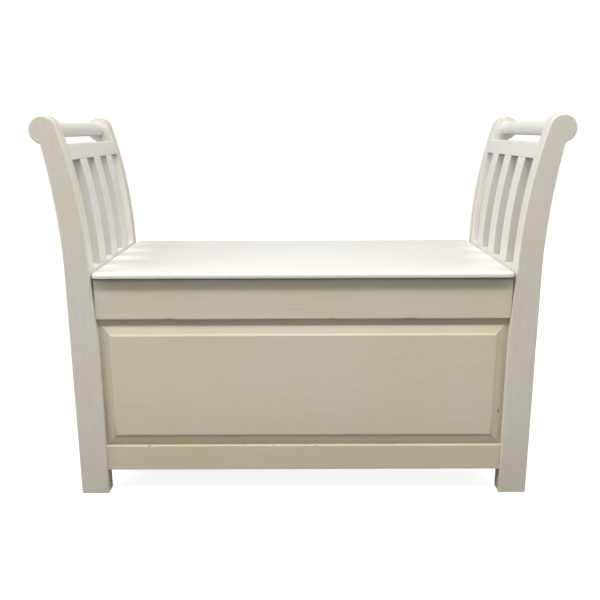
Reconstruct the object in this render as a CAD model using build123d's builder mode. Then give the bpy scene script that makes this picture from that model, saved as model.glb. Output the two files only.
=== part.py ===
from build123d import *
from math import acos, asin, atan2, cos, degrees, hypot, sin, sqrt
import os

# Hall bench with a storage box, scrolled arms and a hinged lid that is the seat.
# Millimetres, +Z up, front towards -Y, left at -X. The origin is on the floor, in the middle
# of the overall width and depth.

# ---- Overall sizes ----
FRAME_WIDTH = 911.0            # over the outer faces of the feet
FRAME_DEPTH = 400.0            # front face of the front posts to back face of the rear posts
SEAT_HEIGHT = 463.0            # top of the lid
HEAD_HEIGHT = 728.0            # centre of the scroll heads

# ---- Posts ----
POST_DEPTH = 32.0
POST_FOOT_WIDTH = 55.0
POST_SEAT_WIDTH = 47.5         # width at the height where both bends begin
POST_TAPER_HEIGHT = 310.0      # the inner face leaves the vertical here
POST_BEND_HEIGHT = 450.0       # both bend arcs stand vertical at this height
INNER_BEND_RADIUS = 1000.0
OUTER_BEND_RADIUS = 1310.0
HEAD_RADIUS = 25.5
NECK_RADIUS = 3.0              # inside corner between the neck and the scroll head
POST_EDGE_RADIUS = 2.5

# ---- Handles and arms ----
HANDLE_RADIUS = 14.0
HANDLE_SEAT_DEPTH = 18.0       # how far a handle end sits in its head
ARM_RAIL_DROP = 26.0           # top of the arm top rail below the centre of the handle
ARM_RAIL_HEIGHT = 29.0
SIDE_RAIL_THICKNESS = 18.0
SIDE_RAIL_RISE = 3.0           # top of the side upper rail above the lid
SLATS_PER_ARM = 3
SLAT_WIDTH = 45.0
SLAT_THICKNESS = SIDE_RAIL_THICKNESS       # flush with both faces of the rails

# ---- Front, back and side frames ----
LOWER_RAIL_BOTTOM = 51.0
LOWER_RAIL_HEIGHT = 53.0
APRON_HEIGHT = 79.5
APRON_SETBACK = 4.0            # apron and lower rail behind the front faces of the posts
FRONT_RAIL_THICKNESS = 22.0
BACK_RAIL_SETBACK = 10.0       # back rails in front of the back faces of the posts
BACK_RAIL_THICKNESS = 18.0
RAIL_EDGE_RADIUS = 2.0

# ---- Joinery ----
TENON_THICKNESS = 8.0
TENON_SETBACK = 11.0           # cross rail tenons from the outer face of the post
TENON_SHOULDER = 8.0           # tenon lower and narrower than its rail, top and bottom
CROSS_TENON_LENGTH = 20.0
TENON_CLEARANCE = 2.0          # wood left between a side mortise and a cross tenon
SIDE_TENON_INSET = 5.0         # side tenons from the inner face of their rail
SLAT_TENON_LENGTH = 8.0
SLAT_TENON_INSET = (SLAT_THICKNESS - TENON_THICKNESS) / 2
JOINT_FIT = 0.1                # a mortise is wider than its tenon by this on each side
JOINT_DEPTH_GAP = 0.5          # and deeper by this
TONGUE_DEPTH = 6.0
TONGUE_END_GAP = 2.0           # a groove is deeper than its tongue by this
GROOVE_WALL = 4.5              # between the side panel's tongue and the front or back groove

# ---- Panels ----
TONGUE_THICKNESS = 6.0
FRONT_TONGUE_SETBACK = 12.0    # front panel margin behind the front faces of the posts
SIDE_TONGUE_INSET = 5.5        # side panel back face from the inner face of the foot
PANEL_MARGIN = 4.5             # flat border around the raised part
PANEL_HEAD_EXTRA = 9.0         # the border is wider by this along the top
BEVEL_RUN = 15.0
BEVEL_RISE = 5.0
STEP_RUN = 5.0
STEP_RISE = 3.0
BACK_PANEL_THICKNESS = 5.0
BACK_PANEL_SETBACK = 16.5

# ---- Floor ----
CLEAT_RISE = 3.0               # cleats above the underside of the lower rails
CLEAT_HEIGHT = 18.0
CLEAT_WIDTH = 20.0
FLOOR_THICKNESS = 9.0
FLOOR_GAP = 0.5

# ---- Lid ----
LID_THICKNESS = 11.0
LID_FRONT_OVERHANG = 8.0       # lid in front of the front faces of the posts
LID_SIDE_GAP = 2.5
LID_CORNER_RADIUS = 15.0
LID_TOP_RADIUS = 7.0
LID_UNDER_RADIUS = 2.0
BATTEN_WIDTH = 40.0
BATTEN_THICKNESS = 16.0
BATTEN_INSET = 185.5           # batten centres from the inner faces of the feet
BATTEN_END_GAP = 16.0          # batten ends from the apron and the back upper rail
BUMPER_RADIUS = 5.0
BUMPER_GAP = 0.3               # bumper top below the lid
BUMPER_INSET = 70.5            # bumper centres from the inner faces of the feet

# ---- Hinges ----
HINGE_LENGTH = 60.0
HINGE_INSET = 130.5            # hinge centres from the inner faces of the feet
LEAF_MARGIN = 1.0              # leaf narrower than the back upper rail
LEAF_THICKNESS = 1.5
LEAF_GAP = 0.5                 # between the two leaves of a closed hinge
KNUCKLE_RADIUS = 3.0
KNUCKLE_GAP = 0.3              # between neighbouring knuckles, and around them
PIN_RADIUS = 1.5
PIN_FIT = 0.05
HINGE_SCREW_RADIUS = 1.5
HINGE_SCREW_LENGTH = 8.5
HINGE_SCREW_SPACING = 21.0

# ---- Wood screws ----
SCREW_RADIUS = 2.0
SCREW_LENGTH = 24.0
SCREW_HEAD_RATIO = 2.0         # head radius over shank radius, for every screw
SCREW_FIT = 0.05
COUNTERSINK_ANGLE = 90
SCREWS_PER_BATTEN = 3
SCREWS_PER_CLEAT = 3

# ---- Worked out from the sizes above ----
SIDE_TENON_LENGTH = POST_DEPTH - TENON_SETBACK - TENON_THICKNESS - TENON_CLEARANCE
OVERALL_DEPTH = FRAME_DEPTH + LID_FRONT_OVERHANG
Y_BACK = OVERALL_DEPTH / 2
Y_FRONT = Y_BACK - FRAME_DEPTH
OUTER_X = FRAME_WIDTH / 2
FOOT_INNER_X = OUTER_X - POST_FOOT_WIDTH
BATTEN_OFFSET = FOOT_INNER_X - BATTEN_INSET
BUMPER_OFFSET = FOOT_INNER_X - BUMPER_INSET
HINGE_OFFSET = FOOT_INNER_X - HINGE_INSET
BEND_INNER_X = OUTER_X - POST_SEAT_WIDTH
INNER_BEND_X = BEND_INNER_X + INNER_BEND_RADIUS
OUTER_BEND_X = OUTER_X + OUTER_BEND_RADIUS
HEAD_X = INNER_BEND_X - sqrt((INNER_BEND_RADIUS - HEAD_RADIUS) ** 2
                             - (HEAD_HEIGHT - POST_BEND_HEIGHT) ** 2)
HEAD_ANGLE = asin((HEAD_HEIGHT - POST_BEND_HEIGHT) / (INNER_BEND_RADIUS - HEAD_RADIUS))
LOWER_RAIL_TOP = LOWER_RAIL_BOTTOM + LOWER_RAIL_HEIGHT
LID_UNDERSIDE = SEAT_HEIGHT - LID_THICKNESS
LID_UNDER_GAP = 2 * LEAF_THICKNESS + LEAF_GAP
APRON_TOP = LID_UNDERSIDE - LID_UNDER_GAP
APRON_BOTTOM = APRON_TOP - APRON_HEIGHT
SIDE_RAIL_TOP = SEAT_HEIGHT + SIDE_RAIL_RISE
ARM_RAIL_TOP = HEAD_HEIGHT - ARM_RAIL_DROP
ARM_RAIL_BOTTOM = ARM_RAIL_TOP - ARM_RAIL_HEIGHT
CLEAT_BOTTOM = LOWER_RAIL_BOTTOM + CLEAT_RISE
CLEAT_TOP = CLEAT_BOTTOM + CLEAT_HEIGHT
GROOVE_DEPTH = TONGUE_DEPTH + TONGUE_END_GAP
DEEPEST_GROOVE = max(FRONT_TONGUE_SETBACK + TONGUE_THICKNESS,
                     BACK_PANEL_SETBACK + BACK_PANEL_THICKNESS)
SIDE_TONGUE_DEPTH = POST_DEPTH - DEEPEST_GROOVE - GROOVE_WALL
LEAF_WIDTH = BACK_RAIL_THICKNESS - LEAF_MARGIN
FRONT_RAIL_BACK = APRON_SETBACK + FRONT_RAIL_THICKNESS
BACK_RAIL_FRONT = BACK_RAIL_SETBACK + BACK_RAIL_THICKNESS
PIN_Y = Y_BACK - BACK_RAIL_SETBACK
PIN_Z = LID_UNDERSIDE - LID_UNDER_GAP / 2
LEFT, RIGHT = "left", "right"
FRONT, REAR = "front", "rear"


def taper_tangent():
    """Point where the straight taper of the inner face runs into its bend arc."""
    run = INNER_BEND_X - FOOT_INNER_X
    rise = POST_BEND_HEIGHT - POST_TAPER_HEIGHT
    reach = hypot(run, rise)
    turn = atan2(rise, run) + asin(INNER_BEND_RADIUS / reach)
    length = sqrt(reach ** 2 - INNER_BEND_RADIUS ** 2)
    return FOOT_INNER_X + length * cos(turn), POST_TAPER_HEIGHT + length * sin(turn)


TANGENT_X, TANGENT_Z = taper_tangent()


def inner_x(z):
    """Distance of the arm's inner face from the middle of the bench at height z."""
    if z <= POST_TAPER_HEIGHT:
        return FOOT_INNER_X
    if z <= TANGENT_Z:
        share = (z - POST_TAPER_HEIGHT) / (TANGENT_Z - POST_TAPER_HEIGHT)
        return FOOT_INNER_X + share * (TANGENT_X - FOOT_INNER_X)
    return INNER_BEND_X - sqrt(INNER_BEND_RADIUS ** 2 - (z - POST_BEND_HEIGHT) ** 2)


LID_HALF_WIDTH = inner_x(LID_UNDERSIDE) - LID_SIDE_GAP


def in_from(row, distance):
    """Y of a plane this far inside the outer face of the front or rear posts."""
    return Y_FRONT + distance if row == FRONT else Y_BACK - distance


def block(low, high, mode=Mode.ADD):
    """Box between two opposite corners, in the current part."""
    size = [abs(b - a) for a, b in zip(low, high)]
    middle = [(a + b) / 2 for a, b in zip(low, high)]
    with Locations(tuple(middle)):
        Box(*size, mode=mode)


def extrude_y(outline, y_a, y_b, mode=Mode.ADD):
    """Extrude an outline drawn in X and Z from one Y to another."""
    face = outline.sketch.moved(Location((0, min(y_a, y_b), 0)))
    extrude(face, amount=abs(y_b - y_a), dir=(0, 1, 0), mode=mode)


def finish(part, name):
    """Label one piece and write it."""
    part.label = name
    export_step(part, f"parts/{name}.step")


def set_side(side):
    """Turn the right-hand piece being built into the left-hand one when asked."""
    if side == LEFT:
        mirror(about=Plane.YZ, mode=Mode.REPLACE)


# ---- Outlines in X and Z ----

def post_outline():
    """Right-hand post: straight foot, tapered inner face, two bend arcs and the scroll head."""
    span = hypot(OUTER_BEND_X - HEAD_X, HEAD_HEIGHT - POST_BEND_HEIGHT)
    to_head = atan2(HEAD_HEIGHT - POST_BEND_HEIGHT, HEAD_X - OUTER_BEND_X)
    wedge = acos((OUTER_BEND_RADIUS ** 2 + span ** 2 - HEAD_RADIUS ** 2)
                 / (2 * OUTER_BEND_RADIUS * span))
    neck_angle = degrees(to_head + wedge)
    neck_x = OUTER_BEND_X + OUTER_BEND_RADIUS * cos(to_head + wedge)
    neck_z = POST_BEND_HEIGHT + OUTER_BEND_RADIUS * sin(to_head + wedge)
    head_start = 180 - degrees(HEAD_ANGLE)
    head_end = degrees(atan2(neck_z - HEAD_HEIGHT, neck_x - HEAD_X))
    bend_start = 180 - degrees(asin((TANGENT_Z - POST_BEND_HEIGHT) / INNER_BEND_RADIUS))
    with BuildSketch(Plane.XZ) as outline:
        with BuildLine():
            Polyline((OUTER_X, POST_BEND_HEIGHT), (OUTER_X, 0), (FOOT_INNER_X, 0),
                     (FOOT_INNER_X, POST_TAPER_HEIGHT), (TANGENT_X, TANGENT_Z))
            CenterArc((INNER_BEND_X, POST_BEND_HEIGHT), INNER_BEND_RADIUS,
                      bend_start, head_start - bend_start)
            CenterArc((HEAD_X, HEAD_HEIGHT), HEAD_RADIUS, head_start, head_end - head_start)
            CenterArc((OUTER_BEND_X, POST_BEND_HEIGHT), OUTER_BEND_RADIUS,
                      neck_angle, 180 - neck_angle)
        make_face()
        fillet(outline.vertices().sort_by_distance((neck_x, neck_z))[0], NECK_RADIUS)
    return outline


def arm_band(z_low, z_high, inset, thickness):
    """Strip that follows the arm's inner face, inset from it, between two heights."""
    with BuildSketch(Plane.XZ) as band:
        with BuildLine():
            for shift in (inset, inset + thickness):
                corners = [(inner_x(z) + shift, z)
                           for z in (z_low, POST_TAPER_HEIGHT, TANGENT_Z)
                           if z_low <= z <= z_high and z <= TANGENT_Z]
                arc_low = max(z_low, TANGENT_Z)
                if z_high > arc_low:
                    if len(corners) > 1:
                        Polyline(*corners)
                    turns = [180 - degrees(asin((z - POST_BEND_HEIGHT) / INNER_BEND_RADIUS))
                             for z in (arc_low, z_high)]
                    CenterArc((INNER_BEND_X + shift, POST_BEND_HEIGHT), INNER_BEND_RADIUS,
                              turns[0], turns[1] - turns[0])
                else:
                    Polyline(*corners, (inner_x(z_high) + shift, z_high))
            for z in (z_low, z_high):
                Line((inner_x(z) + inset, z), (inner_x(z) + inset + thickness, z))
        make_face()
    return band


# ---- Joints that two pieces share ----

SIDE_RAILS = {
    "arm_top_rail": (ARM_RAIL_BOTTOM, ARM_RAIL_TOP),
    "side_upper_rail": (APRON_BOTTOM, SIDE_RAIL_TOP),
    "side_lower_rail": (LOWER_RAIL_BOTTOM, LOWER_RAIL_TOP),
}
CROSS_RAILS = {
    "upper": (APRON_BOTTOM, APRON_TOP),
    "lower": (LOWER_RAIL_BOTTOM, LOWER_RAIL_TOP),
}
TONGUES = {
    FRONT: (FRONT_TONGUE_SETBACK, TONGUE_THICKNESS),
    REAR: (BACK_PANEL_SETBACK, BACK_PANEL_THICKNESS),
}
SIDE_TONGUE_X = FOOT_INNER_X + SIDE_TONGUE_INSET


def side_tenon(z_low, z_high, fit):
    """Section of a side rail's tenon, or of its mortise when fit is above zero."""
    lift = min(TENON_SHOULDER, (z_high - z_low) / 4) - fit
    return arm_band(z_low + lift, z_high - lift, SIDE_TENON_INSET - fit,
                    TENON_THICKNESS + 2 * fit)


def cross_tenon(row, z_low, z_high, half_length, fit, mode):
    """Tenons at both ends of a cross rail, as one bar through it, or the mortises for them."""
    near = in_from(row, TENON_SETBACK - fit)
    far = in_from(row, TENON_SETBACK + TENON_THICKNESS + fit)
    block((-half_length, near, z_low + TENON_SHOULDER - fit),
          (half_length, far, z_high - TENON_SHOULDER + fit), mode)


def cross_half_length(z_low):
    """Half length of a cross rail between its shoulders: it meets the posts at its lower edge."""
    return inner_x(z_low)


def slat_centres():
    """Y of the middle of each slat, evenly spaced between the posts."""
    clear = FRAME_DEPTH - 2 * POST_DEPTH
    gap = (clear - SLATS_PER_ARM * SLAT_WIDTH) / (SLATS_PER_ARM + 1)
    first = Y_FRONT + POST_DEPTH + gap + SLAT_WIDTH / 2
    return [first + n * (SLAT_WIDTH + gap) for n in range(SLATS_PER_ARM)]


def slat_mortises(z_face, into):
    """Cut the mortises of one arm's slats, into the rail below (-1) or above (+1) z_face."""
    depth = SLAT_TENON_LENGTH + JOINT_DEPTH_GAP
    z_low, z_high = sorted((z_face, z_face + into * depth))
    section = arm_band(z_low, z_high, SLAT_TENON_INSET - JOINT_FIT,
                       TENON_THICKNESS + 2 * JOINT_FIT)
    half = SLAT_WIDTH / 2 - TENON_SHOULDER + JOINT_FIT
    for y in slat_centres():
        extrude_y(section, y - half, y + half, Mode.SUBTRACT)


# ---- Posts and handles ----

def post(side, row):
    """One upright with its mortises, panel grooves and the bore for the handle."""
    outer, inner = in_from(row, 0), in_from(row, POST_DEPTH)
    with BuildPart() as upright:
        extrude_y(post_outline(), outer, inner)
        shown = upright.faces().sort_by(Axis.Y)[0 if row == FRONT else -1]
        fillet(shown.edges().filter_by_position(Axis.Z, 1, 2 * HEAD_HEIGHT), POST_EDGE_RADIUS)
        for z_low, z_high in CROSS_RAILS.values():
            reach = cross_half_length(z_low) + CROSS_TENON_LENGTH + JOINT_DEPTH_GAP
            cross_tenon(row, z_low, z_high, reach, JOINT_FIT, Mode.SUBTRACT)
        for z_low, z_high in SIDE_RAILS.values():
            depth = POST_DEPTH - SIDE_TENON_LENGTH - JOINT_DEPTH_GAP
            extrude_y(side_tenon(z_low, z_high, JOINT_FIT), in_from(row, depth), inner,
                      Mode.SUBTRACT)
        setback, thickness = TONGUES[row]
        groove_low = LOWER_RAIL_TOP - TENON_SHOULDER + 2 * JOINT_FIT
        groove_high = APRON_BOTTOM + TENON_SHOULDER - 2 * JOINT_FIT
        block((0, in_from(row, setback - JOINT_FIT), groove_low),
              (FOOT_INNER_X + GROOVE_DEPTH,
               in_from(row, setback + thickness + JOINT_FIT), groove_high), Mode.SUBTRACT)
        side_groove = POST_DEPTH - SIDE_TONGUE_DEPTH - TONGUE_END_GAP
        block((SIDE_TONGUE_X - JOINT_FIT, in_from(row, side_groove), groove_low),
              (SIDE_TONGUE_X + TONGUE_THICKNESS + JOINT_FIT, inner, groove_high), Mode.SUBTRACT)
        bore = Plane(origin=(HEAD_X, inner, HEAD_HEIGHT),
                     z_dir=(0, 1 if row == FRONT else -1, 0))
        with Locations(bore.location):
            Hole(HANDLE_RADIUS + PIN_FIT, depth=HANDLE_SEAT_DEPTH)
        set_side(side)
    finish(upright.part, f"{row}_{side}_post")


def handle(side):
    """Round rod between the two scroll heads of one arm, seated in blind bores."""
    buried = HANDLE_SEAT_DEPTH - JOINT_DEPTH_GAP
    length = FRAME_DEPTH - 2 * POST_DEPTH + 2 * buried
    middle = (Y_FRONT + Y_BACK) / 2
    axis = Plane(origin=(HEAD_X, middle, HEAD_HEIGHT), z_dir=(0, 1, 0))
    with BuildPart() as rod:
        with BuildSketch(axis.offset(-length / 2)):
            Circle(HANDLE_RADIUS)
        extrude(amount=length)
        set_side(side)
    finish(rod.part, f"{side}_handle")


# ---- Arms ----

def side_rail(side, name):
    """Rail between the front and rear posts, flush with the arm's inner face."""
    z_low, z_high = SIDE_RAILS[name]
    start, end = in_from(FRONT, POST_DEPTH), in_from(REAR, POST_DEPTH)
    with BuildPart() as rail:
        extrude_y(arm_band(z_low, z_high, 0, SIDE_RAIL_THICKNESS), start, end)
        extrude_y(side_tenon(z_low, z_high, 0), start - SIDE_TENON_LENGTH,
                  end + SIDE_TENON_LENGTH)
        if name == "arm_top_rail":
            slat_mortises(z_low, 1)
        if name == "side_upper_rail":
            slat_mortises(z_high, -1)
            side_panel_groove(z_low, GROOVE_DEPTH, start, end)
        if name == "side_lower_rail":
            side_panel_groove(z_high, -GROOVE_DEPTH, start, end)
            with Locations(*cleat_screw_places(RIGHT)):
                Hole(SCREW_RADIUS + SCREW_FIT, depth=SCREW_LENGTH + JOINT_DEPTH_GAP)
        set_side(side)
    finish(rail.part, f"{side}_{name}")


def side_panel_groove(z_face, depth, start, end):
    """Groove along a side rail for the side panel's tongue."""
    block((SIDE_TONGUE_X - JOINT_FIT, start, z_face),
          (SIDE_TONGUE_X + TONGUE_THICKNESS + JOINT_FIT, end, z_face + depth), Mode.SUBTRACT)


def slat(side, number, y):
    """Bent slat between the side upper rail and the arm top rail, with a stub tenon each end."""
    with BuildPart() as piece:
        extrude_y(arm_band(SIDE_RAIL_TOP, ARM_RAIL_BOTTOM, 0, SLAT_THICKNESS),
                  y - SLAT_WIDTH / 2, y + SLAT_WIDTH / 2)
        half = SLAT_WIDTH / 2 - TENON_SHOULDER
        extrude_y(arm_band(SIDE_RAIL_TOP - SLAT_TENON_LENGTH, ARM_RAIL_BOTTOM + SLAT_TENON_LENGTH,
                           SLAT_TENON_INSET, TENON_THICKNESS), y - half, y + half)
        set_side(side)
    finish(piece.part, f"{side}_slat_{number}")


# ---- Front and back frames ----

def cross_rail(row, level, name):
    """Rail between the left and right posts, with its tenons, panel groove and screw holes."""
    z_low, z_high = CROSS_RAILS[level]
    half = cross_half_length(z_low)
    setback = APRON_SETBACK if row == FRONT else BACK_RAIL_SETBACK
    inside = FRONT_RAIL_BACK if row == FRONT else BACK_RAIL_FRONT
    near, far = in_from(row, setback), in_from(row, inside)
    with BuildPart() as rail:
        block((-half, near, z_low), (half, far, z_high))
        shown = z_low if level == "upper" else z_high
        along = rail.edges().filter_by(Axis.X)
        edge = along.filter_by_position(Axis.Z, shown - 1, shown + 1)
        edge = edge.filter_by_position(Axis.Y, near - 1, near + 1)
        fillet(edge, RAIL_EDGE_RADIUS)
        cross_tenon(row, z_low, z_high, half + CROSS_TENON_LENGTH, 0, Mode.ADD)
        tongue, thickness = TONGUES[row]
        face, depth = (z_low, GROOVE_DEPTH) if level == "upper" else (z_high, -GROOVE_DEPTH)
        block((-half, in_from(row, tongue - JOINT_FIT), face),
              (half, in_from(row, tongue + thickness + JOINT_FIT), face + depth), Mode.SUBTRACT)
        if row == REAR and level == "upper":
            hinge_gains()
        if level == "lower":
            with Locations(*cleat_screw_places(row)):
                Hole(SCREW_RADIUS + SCREW_FIT, depth=SCREW_LENGTH + JOINT_DEPTH_GAP)
    finish(rail.part, name)


def hinge_gains():
    """Recesses for the knuckles in the back upper rail, and pilot holes for the leaf screws."""
    depth = KNUCKLE_RADIUS + KNUCKLE_GAP
    for x in hinge_centres():
        block((x - HINGE_LENGTH / 2 - KNUCKLE_GAP, PIN_Y - depth, PIN_Z - depth),
              (x + HINGE_LENGTH / 2 + KNUCKLE_GAP, PIN_Y, APRON_TOP), Mode.SUBTRACT)
    with Locations(*hinge_screw_places(APRON_TOP + LEAF_THICKNESS, 0)):
        Hole(HINGE_SCREW_RADIUS + SCREW_FIT, depth=HINGE_SCREW_LENGTH + JOINT_DEPTH_GAP)


def raised_panel(face, width, height, end_tongue):
    """Panel with a tongue all round, a flat margin, a bevel and a stepped-up field.

    face is the plane of the margin, at the middle of the visible opening, looking outwards
    and with its y axis up. end_tongue is the depth of the tongues in the posts.
    """
    bevel_w, bevel_h = width - 2 * PANEL_MARGIN, height - 2 * PANEL_MARGIN - PANEL_HEAD_EXTRA
    middle = (0, -PANEL_HEAD_EXTRA / 2)
    step_w, step_h = bevel_w - 2 * BEVEL_RUN, bevel_h - 2 * BEVEL_RUN
    with BuildPart() as panel:
        with BuildSketch(face):
            Rectangle(width + 2 * end_tongue, height + 2 * TONGUE_DEPTH)
        extrude(amount=-TONGUE_THICKNESS)
        for level, rise, foot, top in (
                (0, BEVEL_RISE, (bevel_w, bevel_h), (step_w, step_h)),
                (BEVEL_RISE, STEP_RISE, (step_w, step_h),
                 (step_w - 2 * STEP_RUN, step_h - 2 * STEP_RUN))):
            with BuildSketch(face.offset(level)), Locations(middle):
                Rectangle(*foot)
            with BuildSketch(face.offset(level + rise)), Locations(middle):
                Rectangle(*top)
            loft()
    return panel.part


def front_panel():
    """Raised panel between the apron, the front lower rail and the front posts."""
    middle = (LOWER_RAIL_TOP + APRON_BOTTOM) / 2
    face = Plane(origin=(0, in_from(FRONT, FRONT_TONGUE_SETBACK), middle),
                 x_dir=(1, 0, 0), z_dir=(0, -1, 0))
    panel = raised_panel(face, 2 * FOOT_INNER_X, APRON_BOTTOM - LOWER_RAIL_TOP, TONGUE_DEPTH)
    finish(panel, "front_panel")


def side_panel(side):
    """Raised panel between the side rails and the posts of one side, its field outwards."""
    turn = -1 if side == LEFT else 1
    middle = (LOWER_RAIL_TOP + APRON_BOTTOM) / 2
    face = Plane(origin=(turn * (SIDE_TONGUE_X + TONGUE_THICKNESS), (Y_FRONT + Y_BACK) / 2, middle),
                 x_dir=(0, turn, 0), z_dir=(turn, 0, 0))
    panel = raised_panel(face, FRAME_DEPTH - 2 * POST_DEPTH, APRON_BOTTOM - LOWER_RAIL_TOP,
                         SIDE_TONGUE_DEPTH)
    finish(panel, f"{side}_side_panel")


def back_panel():
    """Plain sheet in the grooves of the back rails and the rear posts."""
    half = FOOT_INNER_X + TONGUE_DEPTH
    with BuildPart() as panel:
        block((-half, in_from(REAR, BACK_PANEL_SETBACK), LOWER_RAIL_TOP - TONGUE_DEPTH),
              (half, in_from(REAR, BACK_PANEL_SETBACK + BACK_PANEL_THICKNESS),
               APRON_BOTTOM + TONGUE_DEPTH))
    finish(panel.part, "back_panel")


# ---- Floor ----

CLEATS = (FRONT, REAR, LEFT, RIGHT)


def cleat_bounds(place):
    """Low and high corners of one floor cleat."""
    front_y, rear_y = in_from(FRONT, FRONT_RAIL_BACK), in_from(REAR, BACK_RAIL_FRONT)
    if place == FRONT:
        return ((-FOOT_INNER_X, front_y, CLEAT_BOTTOM),
                (FOOT_INNER_X, front_y + CLEAT_WIDTH, CLEAT_TOP))
    if place == REAR:
        return ((-FOOT_INNER_X, rear_y - CLEAT_WIDTH, CLEAT_BOTTOM),
                (FOOT_INNER_X, rear_y, CLEAT_TOP))
    turn = -1 if place == LEFT else 1
    x_low, x_high = sorted((turn * FOOT_INNER_X, turn * (FOOT_INNER_X - CLEAT_WIDTH)))
    return ((x_low, front_y + CLEAT_WIDTH, CLEAT_BOTTOM), (x_high, rear_y - CLEAT_WIDTH, CLEAT_TOP))


def cleat_screw_places(place):
    """Locations of the screw heads on a cleat's inner face, each screw pointing outwards."""
    low, high = cleat_bounds(place)
    z = (CLEAT_BOTTOM + CLEAT_TOP) / 2
    places = []
    for n in range(SCREWS_PER_CLEAT):
        share = (n + 0.5) / SCREWS_PER_CLEAT
        if place in (FRONT, REAR):
            x = low[0] + share * (high[0] - low[0])
            y, turn = (high[1], 1) if place == FRONT else (low[1], -1)
            head = Plane(origin=(x, y, z), z_dir=(0, turn, 0))
        else:
            y = low[1] + share * (high[1] - low[1])
            x, turn = (high[0], 1) if place == LEFT else (low[0], -1)
            head = Plane(origin=(x, y, z), z_dir=(turn, 0, 0))
        places.append(head.location)
    return places


def cleat(place):
    """Strip that carries one edge of the floor, screwed to its rail."""
    with BuildPart() as strip:
        block(*cleat_bounds(place))
        with Locations(*cleat_screw_places(place)):
            CounterSinkHole(SCREW_RADIUS + SCREW_FIT,
                            SCREW_RADIUS * SCREW_HEAD_RATIO + SCREW_FIT,
                            depth=SCREW_LENGTH + JOINT_DEPTH_GAP, counter_sink_angle=COUNTERSINK_ANGLE)
    finish(strip.part, f"{place}_floor_cleat")


def floor_board():
    """Loose board on the cleats."""
    front_y, rear_y = in_from(FRONT, FRONT_RAIL_BACK), in_from(REAR, BACK_RAIL_FRONT)
    half = FOOT_INNER_X - FLOOR_GAP
    with BuildPart() as board:
        block((-half, front_y + FLOOR_GAP, CLEAT_TOP),
              (half, rear_y - FLOOR_GAP, CLEAT_TOP + FLOOR_THICKNESS))
    finish(board.part, "floor_board")


# ---- Lid ----

def batten_bounds(side):
    """Low and high corners of one lid batten."""
    x = -BATTEN_OFFSET if side == LEFT else BATTEN_OFFSET
    return ((x - BATTEN_WIDTH / 2, in_from(FRONT, FRONT_RAIL_BACK + BATTEN_END_GAP),
             LID_UNDERSIDE - BATTEN_THICKNESS),
            (x + BATTEN_WIDTH / 2, in_from(REAR, BACK_RAIL_FRONT + BATTEN_END_GAP),
             LID_UNDERSIDE))


def batten_screw_places(side):
    """Locations of the screw heads on a batten's underside, each screw pointing up."""
    low, high = batten_bounds(side)
    x = (low[0] + high[0]) / 2
    step = (high[1] - low[1]) / SCREWS_PER_BATTEN
    return [Location((x, low[1] + (n + 0.5) * step, low[2]), (180, 0, 0))
            for n in range(SCREWS_PER_BATTEN)]


def lid_board():
    """Seat board with rounded corners and edges, relieved over the hinge knuckles."""
    relief = KNUCKLE_RADIUS + KNUCKLE_GAP
    with BuildPart() as board:
        with BuildSketch(Plane.XY.offset(LID_UNDERSIDE)):
            RectangleRounded(2 * LID_HALF_WIDTH, OVERALL_DEPTH, LID_CORNER_RADIUS)
        extrude(amount=LID_THICKNESS)
        fillet(board.faces().sort_by(Axis.Z)[-1].edges(), LID_TOP_RADIUS)
        fillet(board.faces().sort_by(Axis.Z)[0].edges(), LID_UNDER_RADIUS)
        for x in hinge_centres():
            block((x - HINGE_LENGTH / 2 - KNUCKLE_GAP, PIN_Y - relief, LID_UNDERSIDE),
                  (x + HINGE_LENGTH / 2 + KNUCKLE_GAP, Y_BACK, PIN_Z + relief), Mode.SUBTRACT)
        with Locations(*hinge_screw_places(LID_UNDERSIDE - LEAF_THICKNESS, 180)):
            Hole(HINGE_SCREW_RADIUS + SCREW_FIT, depth=HINGE_SCREW_LENGTH + JOINT_DEPTH_GAP)
        with Locations(*batten_screw_places(LEFT), *batten_screw_places(RIGHT)):
            Hole(SCREW_RADIUS + SCREW_FIT, depth=SCREW_LENGTH + JOINT_DEPTH_GAP)
    finish(board.part, "lid_board")


def lid_batten(side):
    """Stiffening batten across the lid's underside."""
    with BuildPart() as batten:
        block(*batten_bounds(side))
        with Locations(*batten_screw_places(side)):
            CounterSinkHole(SCREW_RADIUS + SCREW_FIT,
                            SCREW_RADIUS * SCREW_HEAD_RATIO + SCREW_FIT,
                            depth=SCREW_LENGTH + JOINT_DEPTH_GAP, counter_sink_angle=COUNTERSINK_ANGLE)
    finish(batten.part, f"{side}_lid_batten")


def lid_bumpers():
    """Two soft pads on the apron's top edge that the closed lid comes down on."""
    y = in_from(FRONT, (APRON_SETBACK + FRONT_RAIL_BACK) / 2)
    with BuildPart() as pads:
        with BuildSketch(Plane.XY.offset(APRON_TOP)):
            with Locations((-BUMPER_OFFSET, y), (BUMPER_OFFSET, y)):
                Circle(BUMPER_RADIUS)
        extrude(amount=LID_UNDER_GAP - BUMPER_GAP)
    finish(pads.part, "lid_bumpers")


# ---- Hinges ----

def hinge_centres():
    """X of the middle of each hinge."""
    return (-HINGE_OFFSET, HINGE_OFFSET)


def hinge_screw_places(z, turn):
    """Locations of the leaf screws' heads at height z: turn 0 points them down, 180 up."""
    y = PIN_Y - (KNUCKLE_RADIUS + LEAF_WIDTH) / 2
    return [Location((x + n * HINGE_SCREW_SPACING, y, z), (turn, 0, 0))
            for x in hinge_centres() for n in (-1, 0, 1)]


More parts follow.
